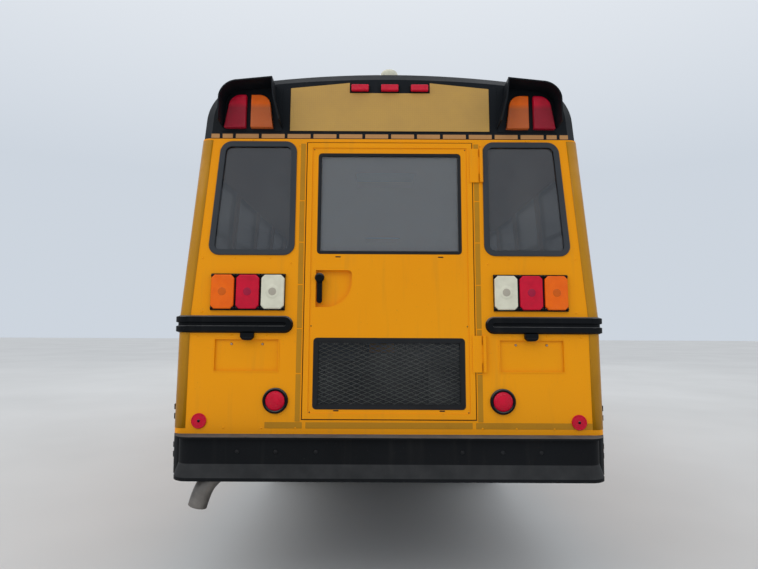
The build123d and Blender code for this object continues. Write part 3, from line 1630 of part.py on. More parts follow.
with BuildPart() as hood:
    add(hood_form(0))
    add(hood_form(hood_shell), mode=Mode.SUBTRACT)
    with BuildSketch(Plane.YZ.offset(-body_half_width)):
        with Locations((front_axle_y, wheel_z)):
            Circle(arch_radius)
    extrude(amount=2 * body_half_width, mode=Mode.SUBTRACT)
    with BuildSketch(station(hood_nose_y)):
        with Locations((0, (grille_low_z + grille_high_z) / 2)):
            Rectangle(2 * grille_half_width, grille_high_z - grille_low_z)
    extrude(amount=2 * grille_depth, mode=Mode.SUBTRACT)
    with BuildSketch(station(hood_nose_y)):
        with Locations(*[(side * headlamp_x, headlamp_z) for side in (-1, 1)]):
            RectangleRounded(headlamp_width, headlamp_height, headlamp_radius)
    extrude(amount=4 * hood_shell, mode=Mode.SUBTRACT)
    with BuildSketch(station(hood_nose_y)):
        with Locations(*[(side * (pivot_ear_x + pivot_sheet / 2), hood_low_z) for side in (-1, 1)]):
            Rectangle(pivot_sheet + 2 * pivot_gap, 2 * (hood_pivot_z - hood_low_z) + pivot_lug)
    extrude(amount=2 * hood_shell, mode=Mode.SUBTRACT)
    for side in (-1, 1):
        with BuildSketch(flank(side * (pivot_ear_x + pivot_sheet + pivot_gap))):
            with Locations((hood_pivot_y, hood_pivot_z)):
                Circle(pivot_lug / 2)
            with Locations(((hood_pivot_y + hood_nose_y - hood_shell) / 2, hood_pivot_z)):
                Rectangle(hood_nose_y - hood_shell - hood_pivot_y, pivot_lug)
            with Locations((hood_pivot_y, hood_pivot_z)):
                Circle(pivot_pin + running_gap, mode=Mode.SUBTRACT)
        extrude(amount=side * pivot_sheet)
hood.part.label = "hood"
export_step(hood.part, "parts/hood.step")

# Grille: a frame of bars filling the opening in the hood's nose
with BuildPart() as grille:
    with BuildSketch(station(hood_nose_y)):
        with Locations((0, (grille_low_z + grille_high_z) / 2)):
            Rectangle(2 * grille_half_width, grille_high_z - grille_low_z)
            Rectangle(
                2 * (grille_half_width - grille_bar),
                grille_high_z - grille_low_z - 2 * grille_bar,
                mode=Mode.SUBTRACT,
            )
            with GridLocations(0, (grille_high_z - grille_low_z) / (grille_bars + 1), 1, grille_bars):
                Rectangle(2 * grille_half_width, grille_bar / 2)
    extrude(amount=grille_depth)
grille.part.label = "grille"
export_step(grille.part, "parts/grille.step")

# Headlamps in the fender noses
with BuildPart() as headlamps:
    with BuildSketch(station(fender_front_y)):
        with Locations(*[(side * headlamp_x, headlamp_z) for side in (-1, 1)]):
            RectangleRounded(headlamp_width, headlamp_height, headlamp_radius)
    extrude(amount=hood_shell)
headlamps.part.label = "headlamps"
export_step(headlamps.part, "parts/headlamps.step")

# Entrance: two leaves that follow the body's section, hinged at their outer edges
entry_leaf_width = (entry_width - 2 * door_gap - entry_centre_gap) / 2
entry_pane_inset = 60
entry_panes = ((entry_low_z + 140, 1320), (1450, entry_high_z - 80))
leaf_outer = body_section(0, entry_low_z)
leaf_inner = body_section(entry_leaf, entry_low_z - wall)
pane_outer = body_section(entry_leaf / 2 - glass / 2, entry_low_z)
pane_inner = body_section(entry_leaf / 2 + glass / 2, entry_low_z - wall)


def entry_strip(outer, inner, edge_y, away):
    """One leaf's strip of the body section, from its hinge edge to its free edge."""
    with BuildPart() as strip:
        with BuildSketch(station(max(edge_y, edge_y - away * entry_leaf_width))):
            add(outer)
            add(inner, mode=Mode.SUBTRACT)
            with Locations((body_half_width / 2, (entry_low_z + entry_high_z) / 2)):
                Rectangle(body_half_width, entry_high_z - entry_low_z - 2 * door_gap, mode=Mode.INTERSECT)
        extrude(amount=entry_leaf_width)
    return strip.part


def entry_windows(edge_y, away):
    """The space of one leaf's two panes, through the whole width of the door."""
    with BuildPart() as windows:
        with BuildSketch(flank(eave_half_width - wall)):
            for low_z, high_z in entry_panes:
                with Locations((edge_y - away * entry_leaf_width / 2, (low_z + high_z) / 2)):
                    Rectangle(entry_leaf_width - 2 * entry_pane_inset, high_z - low_z)
        extrude(amount=4 * wall)
    return windows.part


for leaf_name, (edge_y, away) in entry_edges.items():
    node = f"entrance_{leaf_name}_leaf"
    with BuildPart() as leaf:
        add(entry_strip(leaf_outer, leaf_inner, edge_y, away))
        add(entry_windows(edge_y, away), mode=Mode.SUBTRACT)
        add(moving_hinge(entry_hinge_plane(edge_y, away), entry_pin_gap, entry_hinge_height))
    leaf.part.label = node
    export_step(leaf.part, f"parts/{node}.step")
    with BuildPart() as leaf_glass:
        add(entry_strip(pane_outer, pane_inner, edge_y, away))
        add(entry_windows(edge_y, away), mode=Mode.INTERSECT)
    leaf_glass.part.label = f"entrance_{leaf_name}_glass"
    export_step(leaf_glass.part, f"parts/entrance_{leaf_name}_glass.step")

# Stop arm: an octagonal blade hinged at its front edge on the left flank
with BuildPart() as stop_arm:
    with BuildSketch(flank(-body_half_width - arm_offset - arm_thickness / 2)):
        with Locations((arm_pin_y - arm_gap - arm_across / 2, arm_z)):
            RegularPolygon(arm_across / 2, arm_sides, major_radius=False, rotation=180 / arm_sides)
        with Locations((arm_pin_y - arm_gap, arm_z)):
            Rectangle(2 * arm_gap, arm_across / 3)
    extrude(amount=arm_thickness)
    with BuildSketch(arm_hinge_plane.offset(-arm_across / 6)):
        Circle(hinge_barrel)
    extrude(amount=arm_across / 3)
    with BuildSketch(arm_hinge_plane.offset(-arm_across / 6)):
        Circle(hinge_pin + running_gap)
    extrude(amount=arm_across / 3, mode=Mode.SUBTRACT)
stop_arm.part.label = "stop_arm"
export_step(stop_arm.part, "parts/stop_arm.step")

# Roof hatches: a lid over the curb of each roof opening, hinged at its front edge
for hatch_name, y in hatch_ys.items():
    with BuildPart() as hatch:
        with BuildSketch(level(hatch_lid_z)):
            with Locations((0, y)):
                Rectangle(hatch_size + 2 * hatch_lap, hatch_size + 2 * hatch_lap)
        extrude(amount=hatch_lid)
        chamfer(hatch.edges().group_by(Axis.Z)[-1], length=hatch_lid / 3)
        add(moving_hinge(hatch_hinge_plane(y), hatch_edge + hatch_lid / 3))
    hatch.part.label = hatch_name
    export_step(hatch.part, f"parts/{hatch_name}.step")

# Front wheels: knuckle, rim and tyre each side
hub_bore = 36
knuckle_web_inner = 52
knuckle_web_outer = 84
fork_radius = 44
fork_thickness = 34
fork_z = eye_half_height + running_gap
spindle_end_x = front_track_half + 75
wheel_sides = {"left": -1, "right": 1}
plate_radius = 150
cap_radius = 82
cap_length = 60
plate_thickness = 22
front_dish_offset = 40
rear_hub_radius = 110
rear_hub_length = 120
rear_dish_x = dual_outer_x - 67
rear_disc_radius = 180
hub_end_gap = 2
hub_face_gap = 20


def tyre_profile(centre_x):
    """Half-section of a tyre on a cross plane, its shoulders bevelled into flat sidewalls."""
    with BuildSketch() as profile:
        with Locations((centre_x, wheel_z)):
            Polygon(
                (-tyre_half_width, rim_radius),
                (tyre_half_width, rim_radius),
                (tyre_half_width, tyre_radius - shoulder_drop),
                (tread_half_width, tyre_radius),
                (-tread_half_width, tyre_radius),
                (-tyre_half_width, tyre_radius - shoulder_drop),
                align=None,
            )
    return profile.sketch


def wheel_axis(y):
    """The axle line of the wheels at y."""
    return Axis((0, y, wheel_z), (1, 0, 0))


for side_name, side in wheel_sides.items():
    with BuildPart() as knuckle:
        with BuildSketch(level(wheel_z - fork_z - fork_thickness)):
            with Locations((side * kingpin_half, front_axle_y)):
                Circle(kingpin_radius)
        extrude(amount=2 * (fork_z + fork_thickness))
        for low_z in (wheel_z - fork_z - fork_thickness, wheel_z + fork_z):
            with BuildSketch(level(low_z)):
                with Locations((side * kingpin_half, front_axle_y)):
                    Circle(fork_radius)
                with Locations((side * (kingpin_half + knuckle_web_outer / 2), front_axle_y)):
                    Rectangle(knuckle_web_outer, 2 * fork_radius)
            extrude(amount=fork_thickness)
        web_x = kingpin_half + (knuckle_web_inner + knuckle_web_outer) / 2
        with BuildSketch(level(wheel_z - fork_z - fork_thickness)):
            with Locations((side * web_x, front_axle_y)):
                Rectangle(knuckle_web_outer - knuckle_web_inner, 2 * fork_radius)
        extrude(amount=2 * (fork_z + fork_thickness))
        with BuildSketch(flank(side * (kingpin_half + knuckle_web_outer))):
            with Locations((front_axle_y, wheel_z)):
                Circle(hub_bore - running_gap)
        extrude(amount=side * (spindle_end_x - kingpin_half - knuckle_web_outer))
    knuckle.part.label = f"{side_name}_knuckle"
    export_step(knuckle.part, f"parts/{side_name}_knuckle.step")

    with BuildPart() as front_tyre:
        with BuildSketch(station(front_axle_y)):
            add(tyre_profile(side * front_track_half))
        revolve(axis=wheel_axis(front_axle_y))
    front_tyre.part.label = f"front_{side_name}_tyre"
    export_step(front_tyre.part, f"parts/front_{side_name}_tyre.step")

    plate_x_in = front_track_half + front_dish_offset
    with BuildPart() as front_rim:
        with BuildSketch(station(front_axle_y)):
            with Locations((0, wheel_z)):
                Polygon(
                    (side * (front_track_half - bead_half_width), rim_radius),
                    (side * (front_track_half + bead_half_width), rim_radius),
                    (side * (plate_x_in + plate_thickness), plate_radius),
                    (side * (plate_x_in + plate_thickness), cap_radius),
                    (side * (plate_x_in + plate_thickness + cap_length), cap_radius),
                    (side * (plate_x_in + plate_thickness + cap_length), 0),
                    (side * (spindle_end_x + hub_end_gap), 0),
                    (side * (spindle_end_x + hub_end_gap), hub_bore),
                    (side * (kingpin_half + knuckle_web_outer + hub_face_gap), hub_bore),
                    (side * (kingpin_half + knuckle_web_outer + hub_face_gap), cap_radius),
                    (side * plate_x_in, plate_radius),
                )
        revolve(axis=wheel_axis(front_axle_y))
    front_rim.part.label = f"front_{side_name}_rim"
    export_step(front_rim.part, f"parts/front_{side_name}_rim.step")

    with BuildPart() as rear_tyres:
        with BuildSketch(station(rear_axle_y)):
            add(tyre_profile(side * dual_outer_x))
            add(tyre_profile(side * dual_inner_x))
        revolve(axis=wheel_axis(rear_axle_y))
    rear_tyres.part.label = f"rear_{side_name}_tyres"
    export_step(rear_tyres.part, f"parts/rear_{side_name}_tyres.step")

    with BuildPart() as rear_rims:
        with BuildSketch(station(rear_axle_y)):
            with Locations((0, wheel_z)):
                Polygon(
                    (side * (dual_inner_x - bead_half_width), rim_radius),
                    (side * (dual_outer_x + bead_half_width), rim_radius),
                    (side * (rear_dish_x + plate_thickness), rear_disc_radius),
                    (side * (rear_dish_x + plate_thickness), rear_hub_radius),
                    (side * (rear_dish_x + plate_thickness + rear_hub_length), rear_hub_radius),
                    (side * (rear_dish_x + plate_thickness + rear_hub_length), 0),
                    (side * (rear_spindle_end_x + hub_end_gap), 0),
                    (side * (rear_spindle_end_x + hub_end_gap), spindle_radius + running_gap),
                    (side * (rear_hub_inner_x + hub_face_gap), spindle_radius + running_gap),
                    (side * (rear_hub_inner_x + hub_face_gap), rear_disc_radius),
                )
        revolve(axis=wheel_axis(rear_axle_y))
    rear_rims.part.label = f"rear_{side_name}_rims"
    export_step(rear_rims.part, f"parts/rear_{side_name}_rims.step")
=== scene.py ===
# %% [markdown]
# # A full-size school bus, dressed for its portrait from behind
#
# The solid parts of the bus come from a CAD model: walls, doors, wheels, lamps, benches. They already
# have their real sizes and places. This notebook gives them paint, glass and rubber, and adds the
# trim that is too fine for the CAD model, such as rivets, tapes, gaskets and tyre tread.
# Everything is in metres: +Y is forward, +X is the kerb side and the ground is Z = 0.

# %% Load the CAD model
import math

import bmesh
import bpy
from mathutils import Matrix, Vector


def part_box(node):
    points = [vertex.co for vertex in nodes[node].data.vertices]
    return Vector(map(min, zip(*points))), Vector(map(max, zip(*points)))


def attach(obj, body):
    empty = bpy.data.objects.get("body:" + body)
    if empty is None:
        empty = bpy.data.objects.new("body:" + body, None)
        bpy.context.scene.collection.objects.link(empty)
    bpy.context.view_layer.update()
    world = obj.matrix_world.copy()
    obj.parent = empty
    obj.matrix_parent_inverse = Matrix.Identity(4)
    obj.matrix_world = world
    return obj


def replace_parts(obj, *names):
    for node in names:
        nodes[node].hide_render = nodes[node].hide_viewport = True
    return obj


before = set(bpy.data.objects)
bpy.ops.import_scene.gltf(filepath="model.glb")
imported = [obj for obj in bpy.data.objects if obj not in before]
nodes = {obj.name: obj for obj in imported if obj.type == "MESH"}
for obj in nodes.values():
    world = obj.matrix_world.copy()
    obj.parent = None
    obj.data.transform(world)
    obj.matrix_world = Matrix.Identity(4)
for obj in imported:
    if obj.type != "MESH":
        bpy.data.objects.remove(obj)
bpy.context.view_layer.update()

# %% [markdown]
# The rear wall leans forward by a few degrees as it rises, and the flanks lean inward above the
# belt line. A matrix turns a flat drawing into a place on one of those faces, so each tape, gasket
# or screw is drawn flat and then laid on its wall, the way a fitter would stick it on. Windows, roof
# bands and bench rows repeat at one pitch along the body.

# %% The faces of the body
REAR_LEAN = math.radians(3.5)
WALL_FOOT_Y = -5.5534
HALF_WIDTH = 1.219
BELT_Z = 1.62
EAVE_Z = 2.682
EAVE_HALF_WIDTH = 1.133
ROOF_TOP_Z = 3.12
BAY_PITCH = 0.70
TUMBLE = math.atan2(HALF_WIDTH - EAVE_HALF_WIDTH, EAVE_Z - BELT_Z)

REAR_FACE = Matrix((
    (1, 0, 0, 0),
    (0, math.sin(REAR_LEAN), -math.cos(REAR_LEAN), WALL_FOOT_Y),
    (0, math.cos(REAR_LEAN), math.sin(REAR_LEAN), 0),
    (0, 0, 0, 1),
))


def at(x, y, z):
    """A matrix that moves by this much."""
    return Matrix.Translation((x, y, z))


def rotated(angle, axis):
    """A matrix that turns by an angle in radians about one axis."""
    return Matrix.Rotation(angle, 4, axis)


FACING_BACK = rotated(math.pi / 2, "X")
FACING_AHEAD = rotated(-math.pi / 2, "X")


def up_wall(z):
    """Distance up the leaning rear wall to height z."""
    return z / math.cos(REAR_LEAN)


def flank_face(side, z):
    """A frame on one flank at height z: X forward on the left and rearward on the right, Z outward."""
    lean = TUMBLE if z > BELT_Z else 0
    x = HALF_WIDTH - max(z - BELT_Z, 0) * math.tan(TUMBLE)
    outward = Vector((side * math.cos(lean), 0, math.sin(lean)))
    along = Vector((0, side, 0))
    up = outward.cross(along)
    return Matrix((
        (along.x, up.x, outward.x, side * x),
        (along.y, up.y, outward.y, 0),
        (along.z, up.z, outward.z, z),
        (0, 0, 0, 1),
    ))


# %% [markdown]
# ## Paint, glass and rubber
#
# A real surface is never one colour. Paint fades in patches, rain leaves faint streaks and the low
# panels carry road dust. Each material here is a small node graph: noise at a few sizes drives the
# colour, the roughness and a slight bump. The graphs read Object coordinates, and every object sits
# at the origin, so a pattern has the same scale on every piece and stays put when a door opens.

# %% Helpers for node graphs
WAVE_SCALE = 0.314


def start_material(name):
    """An empty material; returns it and its node tree."""
    material = bpy.data.materials.new(name)
    material.use_nodes = True
    return material, material.node_tree


def finish_material(material, colour, rough, normal, constants=None):
    """Links colour, roughness and normal to the Principled shader, and sets constants on its sockets."""
    tree = material.node_tree
    shader = tree.nodes["Principled BSDF"]
    for socket, value in (("Base Color", colour), ("Roughness", rough), ("Normal", normal)):
        tree.links.new(value, shader.inputs[socket])
    for socket, value in (constants or {}).items():
        shader.inputs[socket].default_value = value
    return material


def wire(tree, kind, sockets, output=0, **settings):
    """Adds a node, fills or links its sockets and returns one output."""
    made = tree.nodes.new(kind)
    for key, value in settings.items():
        setattr(made, key, value)
    for key, value in sockets.items():
        if isinstance(value, bpy.types.NodeSocket):
            tree.links.new(value, made.inputs[key])
        else:
            made.inputs[key].default_value = value
    return made.outputs[output]


def place(tree, stretch=(1, 1, 1)):
    """Object coordinates, scaled on each axis."""
    spot = wire(tree, "ShaderNodeTexCoord", {}, "Object")
    return wire(tree, "ShaderNodeMapping", {"Vector": spot, "Scale": stretch})


def noise(tree, size, detail=3, stretch=(1, 1, 1)):
    """Noise whose patches are about this size in metres."""
    return wire(tree, "ShaderNodeTexNoise", {
        "Vector": place(tree, stretch), "Scale": 1 / size, "Detail": detail, "Roughness": 0.55,
    })


def waves(tree, pitch, axis):
    """Straight bands across one axis, a pitch apart in metres."""
    sockets = {"Vector": place(tree), "Scale": WAVE_SCALE / pitch, "Distortion": 0.0, "Detail": 0.0}
    return wire(tree, "ShaderNodeTexWave", sockets, "Fac", bands_direction=axis, wave_profile="SIN")


def spread(tree, value, low, high, to_low=0.0, to_high=1.0):
    """Maps a value from one range to another, held at its ends."""
    return wire(tree, "ShaderNodeMapRange", {
        "Value": value, "From Min": low, "From Max": high, "To Min": to_low, "To Max": to_high,
    })


def times(tree, a, b):
    """The product of two values."""
    return wire(tree, "ShaderNodeMath", {0: a, 1: b}, operation="MULTIPLY")


def plus(tree, a, b):
    """The sum of two values."""
    return wire(tree, "ShaderNodeMath", {0: a, 1: b}, operation="ADD")


def blend_colours(tree, share, first, second):
    """A colour between two, by a share from 0 to 1; each is a node's output or three numbers."""
    first, second = (end if isinstance(end, bpy.types.NodeSocket) else (*end, 1) for end in (first, second))
    return wire(tree, "ShaderNodeMix", {"Factor": share, "A": first, "B": second}, "Result", data_type="RGBA")


def height(tree):
    """The height above the ground."""
    spot = wire(tree, "ShaderNodeTexCoord", {}, "Object")
    return wire(tree, "ShaderNodeSeparateXYZ", {"Vector": spot}, "Z")


def bumped(tree, relief, depth):
    """A normal from a height value; depth is the relief in metres."""
    return wire(tree, "ShaderNodeBump", {"Height": relief, "Distance": depth, "Strength": 1.0})


# %% [markdown]
# School-bus yellow is a thick gloss enamel. After some years it goes slightly patchy, rain leaves
# faint vertical streaks below each seam, and road spray dulls the lowest panels. The same recipe, with
# other colours, makes the slate cap, the black rails and the dusty chassis paint.

# %% A recipe for painted sheet metal
DUST_TOP_Z, DUST_FULL_Z = 1.25, 0.45
ORANGE_PEEL = 0.0015
SETTLED_DUST = (0.2, 0.2, 0.2)


def painted(name, colour, faded, dust, gloss, dust_share=0.35, coat=0.0, shine=0.3, settled=0.0):
    """Enamel with fading, rain streaks, road dust on the low parts, and an orange-peel bump."""
    material, tree = start_material(name)
    fading = spread(tree, noise(tree, 1.4, detail=4), 0.35, 0.7)
    body = blend_colours(tree, fading, colour, faded)
    streaks = spread(tree, noise(tree, 0.05, stretch=(1, 1, 0.06)), 0.56, 0.8, 0, 0.16)
    streaked = blend_colours(tree, streaks, body, dust)
    low_down = spread(tree, height(tree), DUST_TOP_Z, DUST_FULL_Z)
    film = times(tree, low_down, spread(tree, noise(tree, 0.25, detail=5), 0.3, 0.75, 0.15, dust_share))
    dusty = blend_colours(tree, film, streaked, dust)
    specks = spread(tree, noise(tree, 0.012, detail=2), 0.69, 0.76, 0, 0.3)
    final = blend_colours(tree, specks, dusty, dust)
    uneven = spread(tree, noise(tree, 0.5), 0.3, 0.7, gloss - 0.05, gloss + 0.07)
    matt = plus(tree, uneven, times(tree, film, 0.6))
    if settled:
        facing = wire(tree, "ShaderNodeNewGeometry", {}, "Normal")
        upward = spread(tree, wire(tree, "ShaderNodeSeparateXYZ", {"Vector": facing}, "Z"), 0.2, 0.7, 0, settled)
        patchy = times(tree, upward, spread(tree, noise(tree, 0.12, detail=4), 0.25, 0.7, 0.5, 1.0))
        final = blend_colours(tree, patchy, final, SETTLED_DUST)
        matt = plus(tree, matt, times(tree, patchy, 0.4))
    ripples = plus(tree, noise(tree, 0.6, detail=1), times(tree, noise(tree, 0.004, detail=1), 0.03))
    return finish_material(material, final, matt, bumped(tree, ripples, ORANGE_PEEL), {
        "Specular IOR Level": shine, "Coat Weight": coat, "Coat Roughness": 0.08,
    })


YELLOW = painted(
    "bus_yellow_enamel", (0.88, 0.31, 0.001), (0.90, 0.345, 0.003), (0.36, 0.20, 0.04),
    gloss=0.36, coat=0.06, dust_share=0.18, shine=0.1,
)
SLATE = painted(
    "slate_cap_paint", (0.006, 0.008, 0.010), (0.011, 0.013, 0.017), (0.045, 0.042, 0.038), gloss=0.46, shine=0.1,
)
BLACK = painted(
    "satin_black_paint", (0.004, 0.005, 0.006), (0.009, 0.010, 0.012), (0.045, 0.042, 0.038),
    gloss=0.46, dust_share=0.07, shine=0.05, settled=0.65,
)
CHASSIS = painted(
    "dusty_chassis_paint", (0.012, 0.012, 0.013), (0.03, 0.028, 0.025), (0.11, 0.09, 0.065),
    gloss=0.6, dust_share=0.5, settled=0.5,
)
STOP_RED = painted("stop_sign_red", (0.5, 0.008, 0.01), (0.56, 0.02, 0.02), (0.2, 0.12, 0.08), gloss=0.3, coat=0.3)
HATCH_WHITE = painted("hatch_white_moulding", (0.7, 0.7, 0.66), (0.6, 0.58, 0.52), (0.3, 0.27, 0.2), gloss=0.45)
WHEEL_PAINT = painted("wheel_paint", (0.022, 0.022, 0.024), (0.05, 0.048, 0.045), (0.16, 0.13, 0.1), gloss=0.45)

# %% [markdown]
# Rubber is dull and a little grey, tyres are dusty where they meet the road, and cast or bare metal
# is mottled. They share one plain recipe: two tones, a grain and a bump of that grain.

# %% A recipe for rubber, plastics and bare metal
def grained(name, dark, light, grain, relief, rough, metallic=0.0, mottle=0.35, shine=0.4):
    """Two tones in patches, with a fine grain that also lifts the surface."""
    material, tree = start_material(name)
    patches = spread(tree, noise(tree, mottle, detail=4), 0.3, 0.72)
    tone = blend_colours(tree, patches, dark, light)
    fine = noise(tree, grain, detail=2)
    worn = blend_colours(tree, spread(tree, fine, 0.55, 0.8, 0, 0.25), tone, light)
    matt = spread(tree, patches, 0, 1, rough - 0.06, rough + 0.08)
    return finish_material(material, worn, matt, bumped(tree, fine, relief), {
        "Metallic": metallic, "Specular IOR Level": shine,
    })


RUBBER = grained("window_rubber", (0.004, 0.004, 0.005), (0.011, 0.012, 0.014), 0.003, 0.0003, 0.5, shine=0.25)
GASKET = grained("glazing_rubber", (0.024, 0.028, 0.034), (0.034, 0.039, 0.046), 0.003, 0.0003, 0.5, shine=0.3)
TYRE = grained("tyre_rubber", (0.014, 0.014, 0.014), (0.05, 0.046, 0.04), 0.004, 0.0006, 0.75, mottle=0.2)
FLAP = grained("flap_rubber", (0.012, 0.012, 0.012), (0.07, 0.06, 0.05), 0.006, 0.0008, 0.7)
FLOOR_COVER = grained("floor_covering", (0.03, 0.03, 0.03), (0.07, 0.065, 0.06), 0.01, 0.0008, 0.6)
CAST = grained("cast_iron_paint", (0.03, 0.032, 0.034), (0.09, 0.08, 0.07), 0.008, 0.001, 0.6, metallic=0.3)
STEEL = grained("dull_steel", (0.11, 0.10, 0.09), (0.26, 0.24, 0.22), 0.006, 0.0005, 0.45, metallic=0.85, mottle=0.12)
BRIGHT = grained(
    "bright_fastener", (0.3, 0.3, 0.31), (0.62, 0.6, 0.58), 0.002, 0.0002, 0.3, metallic=1.0, mottle=0.03,
)
CAB_PLASTIC = grained("cab_plastic", (0.03, 0.031, 0.034), (0.05, 0.052, 0.056), 0.0025, 0.0004, 0.55)
GUARD_STEEL = grained("guard_steel", (0.32, 0.32, 0.28), (0.5, 0.48, 0.42), 0.004, 0.0003, 0.5, metallic=0.2)
EXHAUST_BORE = grained("sooty_bore", (0.005, 0.005, 0.005), (0.02, 0.018, 0.016), 0.005, 0.0005, 0.9)

# %% [markdown]
# The windows are tinted safety glass. From outside they look dark and mirror the pale sky, yet the
# lit windows of the far side show through. A dark Principled surface with part of its alpha taken
# away gives both, and its gloss comes from the shader. The door glass is the exception: its very dark
# tint is a painted reflection of the dark ground, and its upper pane has a paler painted reflection of the sky.

# %% Glass and moulded lenses
def window_glass(name, tint, alpha, ior=1.9, painted_sky_reflection=None):
    """Tinted safety glass with a slight film of dust; the optional last tone is painted on the glass above about 1.6
    m as a painted reflection of the sky.
    """
    material, tree = start_material(name)
    film = spread(tree, noise(tree, 0.3, detail=5), 0.45, 0.75)
    tone = blend_colours(tree, times(tree, film, 0.25), tint, (0.16, 0.16, 0.15))
    # Painted reflection of the sky: a paler tone on the glass above about 1.6 m.
    if painted_sky_reflection:
        tone = blend_colours(tree, spread(tree, height(tree), 1.6, 1.9), tone, painted_sky_reflection)
    matt = spread(tree, film, 0, 1, 0.03, 0.09)
    drawn = bumped(tree, noise(tree, 0.5, detail=1), 0.0012)
    return finish_material(material, tone, matt, drawn, {"Alpha": alpha, "IOR": ior})


GLASS = window_glass("tinted_window_glass", (0.022, 0.027, 0.034), 0.62)
# Door glass: its very dark tint is a painted reflection of the dark ground, and its last tone is a painted reflection
# of the sky on the upper pane.
DOOR_GLASS = window_glass("door_window_glass", (0.008, 0.009, 0.009), 0.42, ior=1.5, painted_sky_reflection=(0.235, 0.255, 0.27))

# Heights of the painted reflection of the horizon, a greyer band low on the tall warning lenses.
REFLECTION_TOP_ZS, REFLECTION_FOOT_ZS = (2.895, 2.865), (2.72, 2.73)


def moulded_lens(name, colour, deep, rib, painted_reflection=None):
    """A coloured lens: fine moulded ribs, deeper patches, and on the tall roof lamps a greyer painted reflection of
    the horizon low on the lens.
    """
    material, tree = start_material(name)
    ribs = waves(tree, rib, "X")
    depth = spread(tree, noise(tree, 0.05, detail=2), 0.35, 0.7)
    share = plus(tree, times(tree, ribs, 0.3), times(tree, depth, 0.35))
    tone = blend_colours(tree, share, colour, deep)
    # Painted reflection: low on the warning lenses the colour is greyed in a ribbed band that stands for the horizon
    # they mirror.
    if painted_reflection:
        reach = height(tree)
        band = times(tree, spread(tree, reach, *REFLECTION_TOP_ZS), spread(tree, reach, *REFLECTION_FOOT_ZS))
        tone = blend_colours(tree, times(tree, band, plus(tree, times(tree, ribs, 0.55), 0.3)), tone, painted_reflection)
    matt = spread(tree, noise(tree, 0.1), 0.3, 0.7, 0.16, 0.26)
    return finish_material(material, tone, matt, bumped(tree, ribs, 0.0012), {
        "Specular IOR Level": 0.15, "Coat Weight": 0.12, "Coat Roughness": 0.06,
    })


# The last tone of the red and amber lenses is their painted reflection of the horizon, low on the warning lenses.
RED_LENS = moulded_lens("red_lens", (0.72, 0.004, 0.035), (0.42, 0.002, 0.02), 0.006, painted_reflection=(0.11, 0.014, 0.024))
AMBER_LENS = moulded_lens("amber_lens", (1.0, 0.17, 0.002), (0.85, 0.10, 0.001), 0.006, painted_reflection=(0.27, 0.10, 0.05))
RED_CORE = moulded_lens("red_lens_core", (0.42, 0.01, 0.05), (0.30, 0.008, 0.035), 0.006)
AMBER_CORE = moulded_lens("amber_lens_core", (0.72, 0.13, 0.004), (0.6, 0.09, 0.003), 0.006)
CLEAR_CORE = moulded_lens("clear_lens_core", (0.5, 0.45, 0.36), (0.4, 0.36, 0.29), 0.005)
CLEAR_LENS = moulded_lens("clear_lens", (0.86, 0.83, 0.66), (0.62, 0.59, 0.46), 0.005)

# %% [markdown]
# The bench covers are coated fabric over foam. The coating has a small pebble grain, and it wears
# lighter on the top edges where hands pull on it.

# %% Upholstery
def pebbled(name, dark, light, pebble, relief, rough):
    """Coated upholstery with a cellular grain."""
    material, tree = start_material(name)
    cells = wire(tree, "ShaderNodeTexVoronoi", {"Vector": place(tree), "Scale": 1 / pebble}, "Distance")
    patches = spread(tree, noise(tree, 0.25), 0.35, 0.7)
    tone = blend_colours(tree, patches, dark, light)
    matt = spread(tree, patches, 0, 1, rough, rough + 0.12)
    return finish_material(material, tone, matt, bumped(tree, cells, relief))


VINYL = pebbled("bench_vinyl", (0.045, 0.06, 0.085), (0.075, 0.095, 0.13), 0.004, 0.0005, 0.42)
SEAT_CLOTH = pebbled("driver_seat_cloth", (0.02, 0.02, 0.024), (0.045, 0.045, 0.05), 0.003, 0.0006, 0.8)

# %% Give every CAD node its finish
FINISHES = {
    YELLOW: (
        "left_side_wall", "right_side_wall", "roof_panel", "rear_wall", "front_frame", "hood", "emergency_door",
        "entrance_front_leaf", "entrance_rear_leaf", "battery_box",
    ),
    SLATE: ("rear_cap", "front_cap"),
    BLACK: (
        "rub_rails", "rear_bumper", "front_bumper", "window_sashes", "lamp_bases", "grille", "mirrors", "door_handle",
    ),
    CHASSIS: (
        "frame_rails", "step_well", "bench_frames", "front_axle", "rear_axle", "leaf_springs", "fuel_tank",
        "left_knuckle", "right_knuckle",
    ),
    WHEEL_PAINT: ("front_left_rim", "front_right_rim", "rear_left_rims", "rear_right_rims"),
    TYRE: ("front_left_tyre", "front_right_tyre", "rear_left_tyres", "rear_right_tyres"),
    DOOR_GLASS: ("emergency_door_glass",),
    GLASS: ("windshield", "body_glass", "entrance_front_glass", "entrance_rear_glass"),
    RED_LENS: ("red_lenses",),
    AMBER_LENS: ("amber_lenses",),
    CLEAR_LENS: ("clear_lenses", "headlamps"),
    VINYL: ("bench_cushions", "bench_backs"),
    SEAT_CLOTH: ("driver_seat",),
    CAB_PLASTIC: ("dashboard",),
    CAST: ("engine",),
    STEEL: ("exhaust",),
    FLAP: ("mud_flaps",),
    FLOOR_COVER: ("floor",),
    STOP_RED: ("stop_arm",),
    HATCH_WHITE: ("front_hatch", "rear_hatch"),
}
for finish, names in FINISHES.items():
    for name in names:
        if name in nodes:
            for held in nodes[name].material_slots:
                held.material = finish
dressed = {name for names in FINISHES.values() for name in names}
print("nodes without a finish:", sorted(set(nodes) - dressed))

# %% [markdown]
# ## Trim for the rear wall
#
# New pieces start as a flat face or a bmesh primitive. Its corners are rounded with a bevel of the
# vertices, it gets a thickness, and then one matrix lays it on the wall. The same few helpers make
# gaskets, tapes, lenses and plates, which keeps each of the cells below short.

